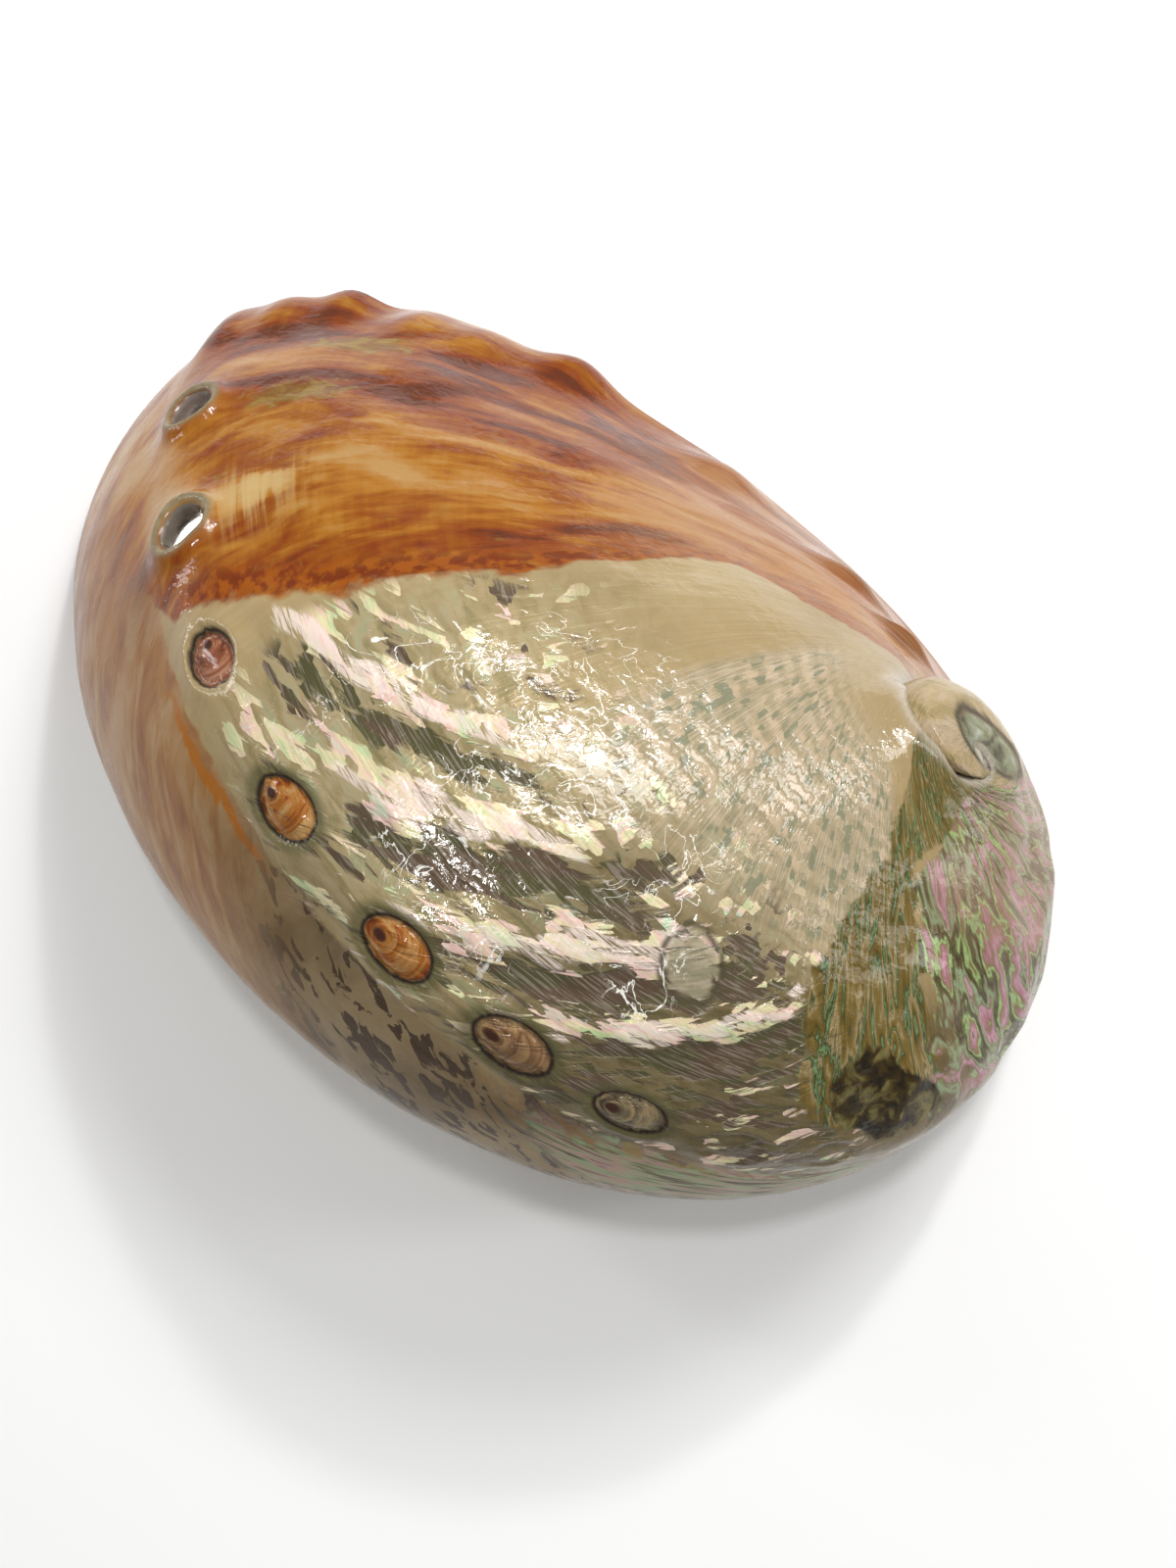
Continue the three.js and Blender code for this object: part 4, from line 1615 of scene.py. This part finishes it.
@dataclass(frozen=True)
class BackFinish:
    """The polished back: orange young shell, cream middle, worn pearl and a dark old spire."""

    name: str = "polished_abalone_back"
    ground_stops: Stops = (
        (0.34, (0.31, 0.225, 0.105)),
        (0.52, (0.375, 0.270, 0.128)),
        (0.68, (0.43, 0.33, 0.18)),
    )
    under_stops: Stops = ((0.35, (0.38, 0.32, 0.24)), (0.65, (0.50, 0.44, 0.34)))
    coat_on_back: float = 0.85
    coat_on_side: float = 0.40

    def ground(self, n: BackSockets) -> Socket:
        """Cream, clouded with beige and faintly lined along old margins.

        Args:
            n: the nodes of the back.

        Returns:
            The colour.
        """
        cloud = n.noise(n.place, 45.0, 4.0, 0.4)
        lines = n.noise(n.stretched(n.grown, 2.0, 60.0), 1.0, 3.0)
        return n.ramp(n.sum("MULTIPLY_ADD", lines, 0.35, n.product(cloud, 0.65)), self.ground_stops)

    def youth(self, n: BackSockets) -> Socket:
        """Where the newest shell lies: it ends at a crisp ragged line, but softly on the side.

        Args:
            n: the nodes of the back.

        Returns:
            1 on the newest shell and 0 on the rest.
        """
        ragged = n.noise(n.stretched(n.grown, 9.0, 22.0), 1.0, 3.0)
        border = n.sum("MULTIPLY_ADD", ragged, 0.07, n.inward)
        crisp = n.product(n.step(border, 0.030, 0.048), n.sum("SUBTRACT", 1.0, n.side))
        return n.sum("MULTIPLY_ADD", n.step(border, -0.22, 0.30), n.side, crisp)

    def gloss(self, n: BackSockets, height: Socket, old_height: Socket, youth: Socket) -> None:
        """Growth lines, worn steps and polish: a clear coat, thinner on the side and the spire.

        Args:
            n: the nodes of the back.
            height: height of the pearl's blocks and comb.
            old_height: height of the spire's layers.
            youth: 1 on the newest shell.
        """
        lines = n.noise(n.stretched(n.grown, 3.0, 150.0), 1.0, 2.0)
        ripple = n.noise(n.place, 480.0, 3.0, 0.6)
        normal = n.bump(lines, 0.00010, 0.5)
        normal = n.bump(n.sum("ADD", height, old_height), 0.00035, 0.9, normal)
        n.shade("Normal", n.bump(ripple, 0.00014, 0.6, normal))
        n.shade("Roughness", n.step(n.noise(n.place, 160.0, 3.0), 0.3, 0.7, 0.26, 0.44))
        shine = n.sum("MAXIMUM", n.product(n.pearl, 0.12), n.product(n.spire, 0.08))
        n.shade("Metallic", n.product(shine, n.sum("SUBTRACT", 1.0, n.under)))
        n.shade("Specular IOR Level", 0.10)
        old = n.sum("MAXIMUM", n.spire, n.strips)
        matt = n.sum("MAXIMUM", old, n.sum("MAXIMUM", n.side, n.product(youth, 0.5)))
        n.shade("Coat Weight", n.step(matt, 0.0, 1.0, self.coat_on_back, self.coat_on_side))
        n.shade("Coat IOR", 1.38)
        n.shade("Coat Roughness", 0.03)
        n.shade("Coat Normal", n.bump(n.sum("ADD", height, n.product(ripple, 0.9)), 0.00018, 0.9))

    def material(self) -> bpy.types.Material:
        """Lays the finish out in layers, from the cream ground up.

        Returns:
            The finish.
        """
        n = BackSockets(self.name)
        spire = SpireFinish()
        pearly, pearl_height = PearlFinish().dress(n, self.ground(n))
        wall = WallFinish().dress(n, pearly)
        old, old_height = spire.dress(n, wall)
        youth = self.youth(n)
        colour = n.mix(youth, old, YoungFinish().dress(n))
        colour = n.mix(n.whorl, colour, spire.whorl(n))
        lines = n.noise(n.stretched(n.grown, 2.0, 30.0), 1.0, 4.0, 0.4)
        colour = n.mix(n.under, colour, n.ramp(lines, self.under_stops))
        n.shade("Base Color", HoleFinish().dress(n, colour))
        self.gloss(n, pearl_height, old_height, youth)
        return n.made


@dataclass(frozen=True)
class NacreFinish:
    """The silvery mother-of-pearl inside."""

    name: str = "mother_of_pearl"
    flow_stops: Stops = (
        (0.25, (0.42, 0.62, 0.56)),
        (0.38, (0.62, 0.70, 0.62)),
        (0.47, (0.76, 0.68, 0.62)),
        (0.55, (0.74, 0.52, 0.58)),
        (0.64, (0.52, 0.56, 0.70)),
        (0.76, (0.46, 0.66, 0.52)),
    )
    silver: Colour = (0.66, 0.63, 0.58)
    lip: Colour = (0.45, 0.30, 0.20)
    bore: Colour = (0.16, 0.12, 0.08)

    def material(self) -> bpy.types.Material:
        """Lays out the soft flow of colour over a silvery ground, darker at the lip and the bores.

        Returns:
            The finish.
        """
        n = Sockets(self.name)
        place = n.node("ShaderNodeTexCoord", {}).outputs["Object"]
        grown = n.node("ShaderNodeUVMap", {}, uv_map="grown").outputs[0]
        tone = n.ramp(n.noise(place, 26.0, 3.0, 1.6), self.flow_stops)
        lines = n.noise(n.stretched(grown, 1.5, 40.0), 1.0, 3.0, 0.5)
        tone = n.mix(n.step(lines, 0.35, 0.7, 0.55, 0.25), tone, self.silver)
        radius, _, _ = n.zones("hole_zones")
        _, age, _ = n.parts(grown)
        tone = n.mix(n.product(n.step(age, 0.035, 0.0), 0.8), tone, self.lip)
        tone = n.mix(n.product(n.step(radius, 1.3, 1.05), 0.85), tone, self.bore)
        n.shade("Base Color", tone)
        n.shade("Metallic", 0.35)
        n.shade("Roughness", n.step(n.noise(place, 90.0, 3.0), 0.3, 0.7, 0.22, 0.38))
        n.shade("Coat Weight", 0.6)
        n.shade("Coat Roughness", 0.08)
        n.shade("Normal", n.bump(n.noise(place, 130.0, 3.0), 0.0004, 0.5))
        return n.made


@dataclass(frozen=True)
class Studio:
    """A pale floor, soft lights and the camera, in millimetres of the shared frame."""

    azimuth: float = math.radians(12.949)
    elevation: float = math.radians(75.860)
    roll: float = math.radians(11.516)
    eye: tuple[float, float, float] = (21.946, -57.695, 222.333)
    lens: float = 36.0
    sensor: float = 36.0
    near_and_far: tuple[float, float] = (0.01, 20.0)
    room_light: float = 0.40
    floor_size: float = 4000.0
    floor_stops: Stops = ((0.3, (0.94, 0.94, 0.935)), (0.7, (0.96, 0.96, 0.955)))

    def basis(self) -> Matrix:
        """How the camera is turned: azimuth round z, elevation above the floor, then roll.

        Returns:
            The camera's right, up and back, as columns.
        """
        azimuth, elevation, roll = self.azimuth, self.elevation, self.roll
        flat = math.cos(elevation)
        back = np.array((math.sin(azimuth) * flat, -math.cos(azimuth) * flat, math.sin(elevation)))
        right = np.array((math.cos(azimuth), math.sin(azimuth), 0.0))
        up = np.cross(back, right)
        turned_right = right * math.cos(roll) + up * math.sin(roll)
        turned_up = up * math.cos(roll) - right * math.sin(roll)
        return Matrix(np.stack((turned_right, turned_up, back), axis=-1).tolist())

    def camera(self) -> bpy.types.Object:
        """Makes the camera and gives it to the scene.

        Returns:
            The camera.
        """
        data = bpy.data.cameras.new("camera")
        data.lens, data.sensor_width = self.lens, self.sensor
        data.clip_start, data.clip_end = self.near_and_far
        made = bpy.data.objects.new("camera", data)
        made.matrix_world = Matrix.Translation(Vector(self.eye) * MM) @ self.basis().to_4x4()
        bpy.context.scene.collection.objects.link(made)
        bpy.context.scene.camera = made
        return made

    def floor(self) -> bpy.types.Object:
        """A wide pale floor just under the rim.

        Returns:
            The floor.
        """
        half = self.floor_size / 2 * MM
        data = bpy.data.meshes.new("floor")
        corners = [(-half, -half, 0), (half, -half, 0), (half, half, 0), (-half, half, 0)]
        data.from_pydata(corners, [], [(0, 1, 2, 3)])
        made = bpy.data.objects.new("floor", data)
        bpy.context.scene.collection.objects.link(made)
        paint = Sockets("pale_floor")
        speckle = paint.noise(paint.node("ShaderNodeTexCoord", {}).outputs["Object"], 9.0)
        paint.shade("Base Color", paint.ramp(speckle, self.floor_stops))
        paint.shade("Roughness", 0.9)
        data.materials.append(paint.made)
        return made

    def softbox(
        self,
        name: str,
        place: tuple[float, float, float],
        size: tuple[float, float],
        power: float,
        aim: tuple[float, float, float] = (0.0, 0.0, 20.0),
    ) -> None:
        """Makes a rectangular light, in millimetres.

        Args:
            name: what it is called.
            place: where it hangs.
            size: its two sides.
            power: its power in watts.
            aim: the place it looks at.
        """
        data = bpy.data.lights.new(name, "AREA")
        data.shape = "RECTANGLE"
        data.size, data.size_y = size[0] * MM, size[1] * MM
        data.energy = power
        made = bpy.data.objects.new(name, data)
        made.location = Vector(place) * MM
        made.rotation_mode = "QUATERNION"
        made.rotation_quaternion = (Vector(aim) * MM - made.location).to_track_quat("-Z", "Y")
        bpy.context.scene.collection.objects.link(made)

    def lights(self) -> None:
        """A pale room with a key light and its bright core high behind the shell.

        A tall light stands on the left and on the right, one hangs above, and a small one lights
        the floor at the foot of the wall.
        """
        world = bpy.data.worlds.new("room")
        world.use_nodes = True
        background = world.node_tree.nodes["Background"]
        background.inputs[0].default_value = (1.0, 1.0, 1.0, 1.0)
        background.inputs[1].default_value = self.room_light
        bpy.context.scene.world = world
        self.softbox("key", (60.0, 440.0, 470.0), (260.0, 160.0), 1.75)
        self.softbox("glint", (-10.0, 470.0, 440.0), (50.0, 34.0), 0.9)
        self.softbox("under", (-57.5, 6.0, 7.0), (15.0, 15.0), 0.018, (-57.5, 6.0, 0.0))
        self.softbox("left", (-620.0, 60.0, 260.0), (60.0, 420.0), 0.8)
        self.softbox("above", (-60.0, 60.0, 700.0), (70.0, 70.0), 0.9)
        self.softbox("right", (560.0, 260.0, 320.0), (90.0, 420.0), 0.9)

    def build(self) -> None:
        """Sets up floor, lights, camera and plain colour."""
        self.floor()
        self.lights()
        self.camera()
        bpy.context.scene.view_settings.view_transform = "Standard"


def main() -> None:
    logging.basicConfig(level=logging.INFO, format="%(name)s: %(message)s")
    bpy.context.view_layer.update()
    shell = Shell().build()
    LOG.info("%s: %d faces", shell.name, len(shell.data.polygons))
    Studio().build()


if __name__ == "__main__":
    main()
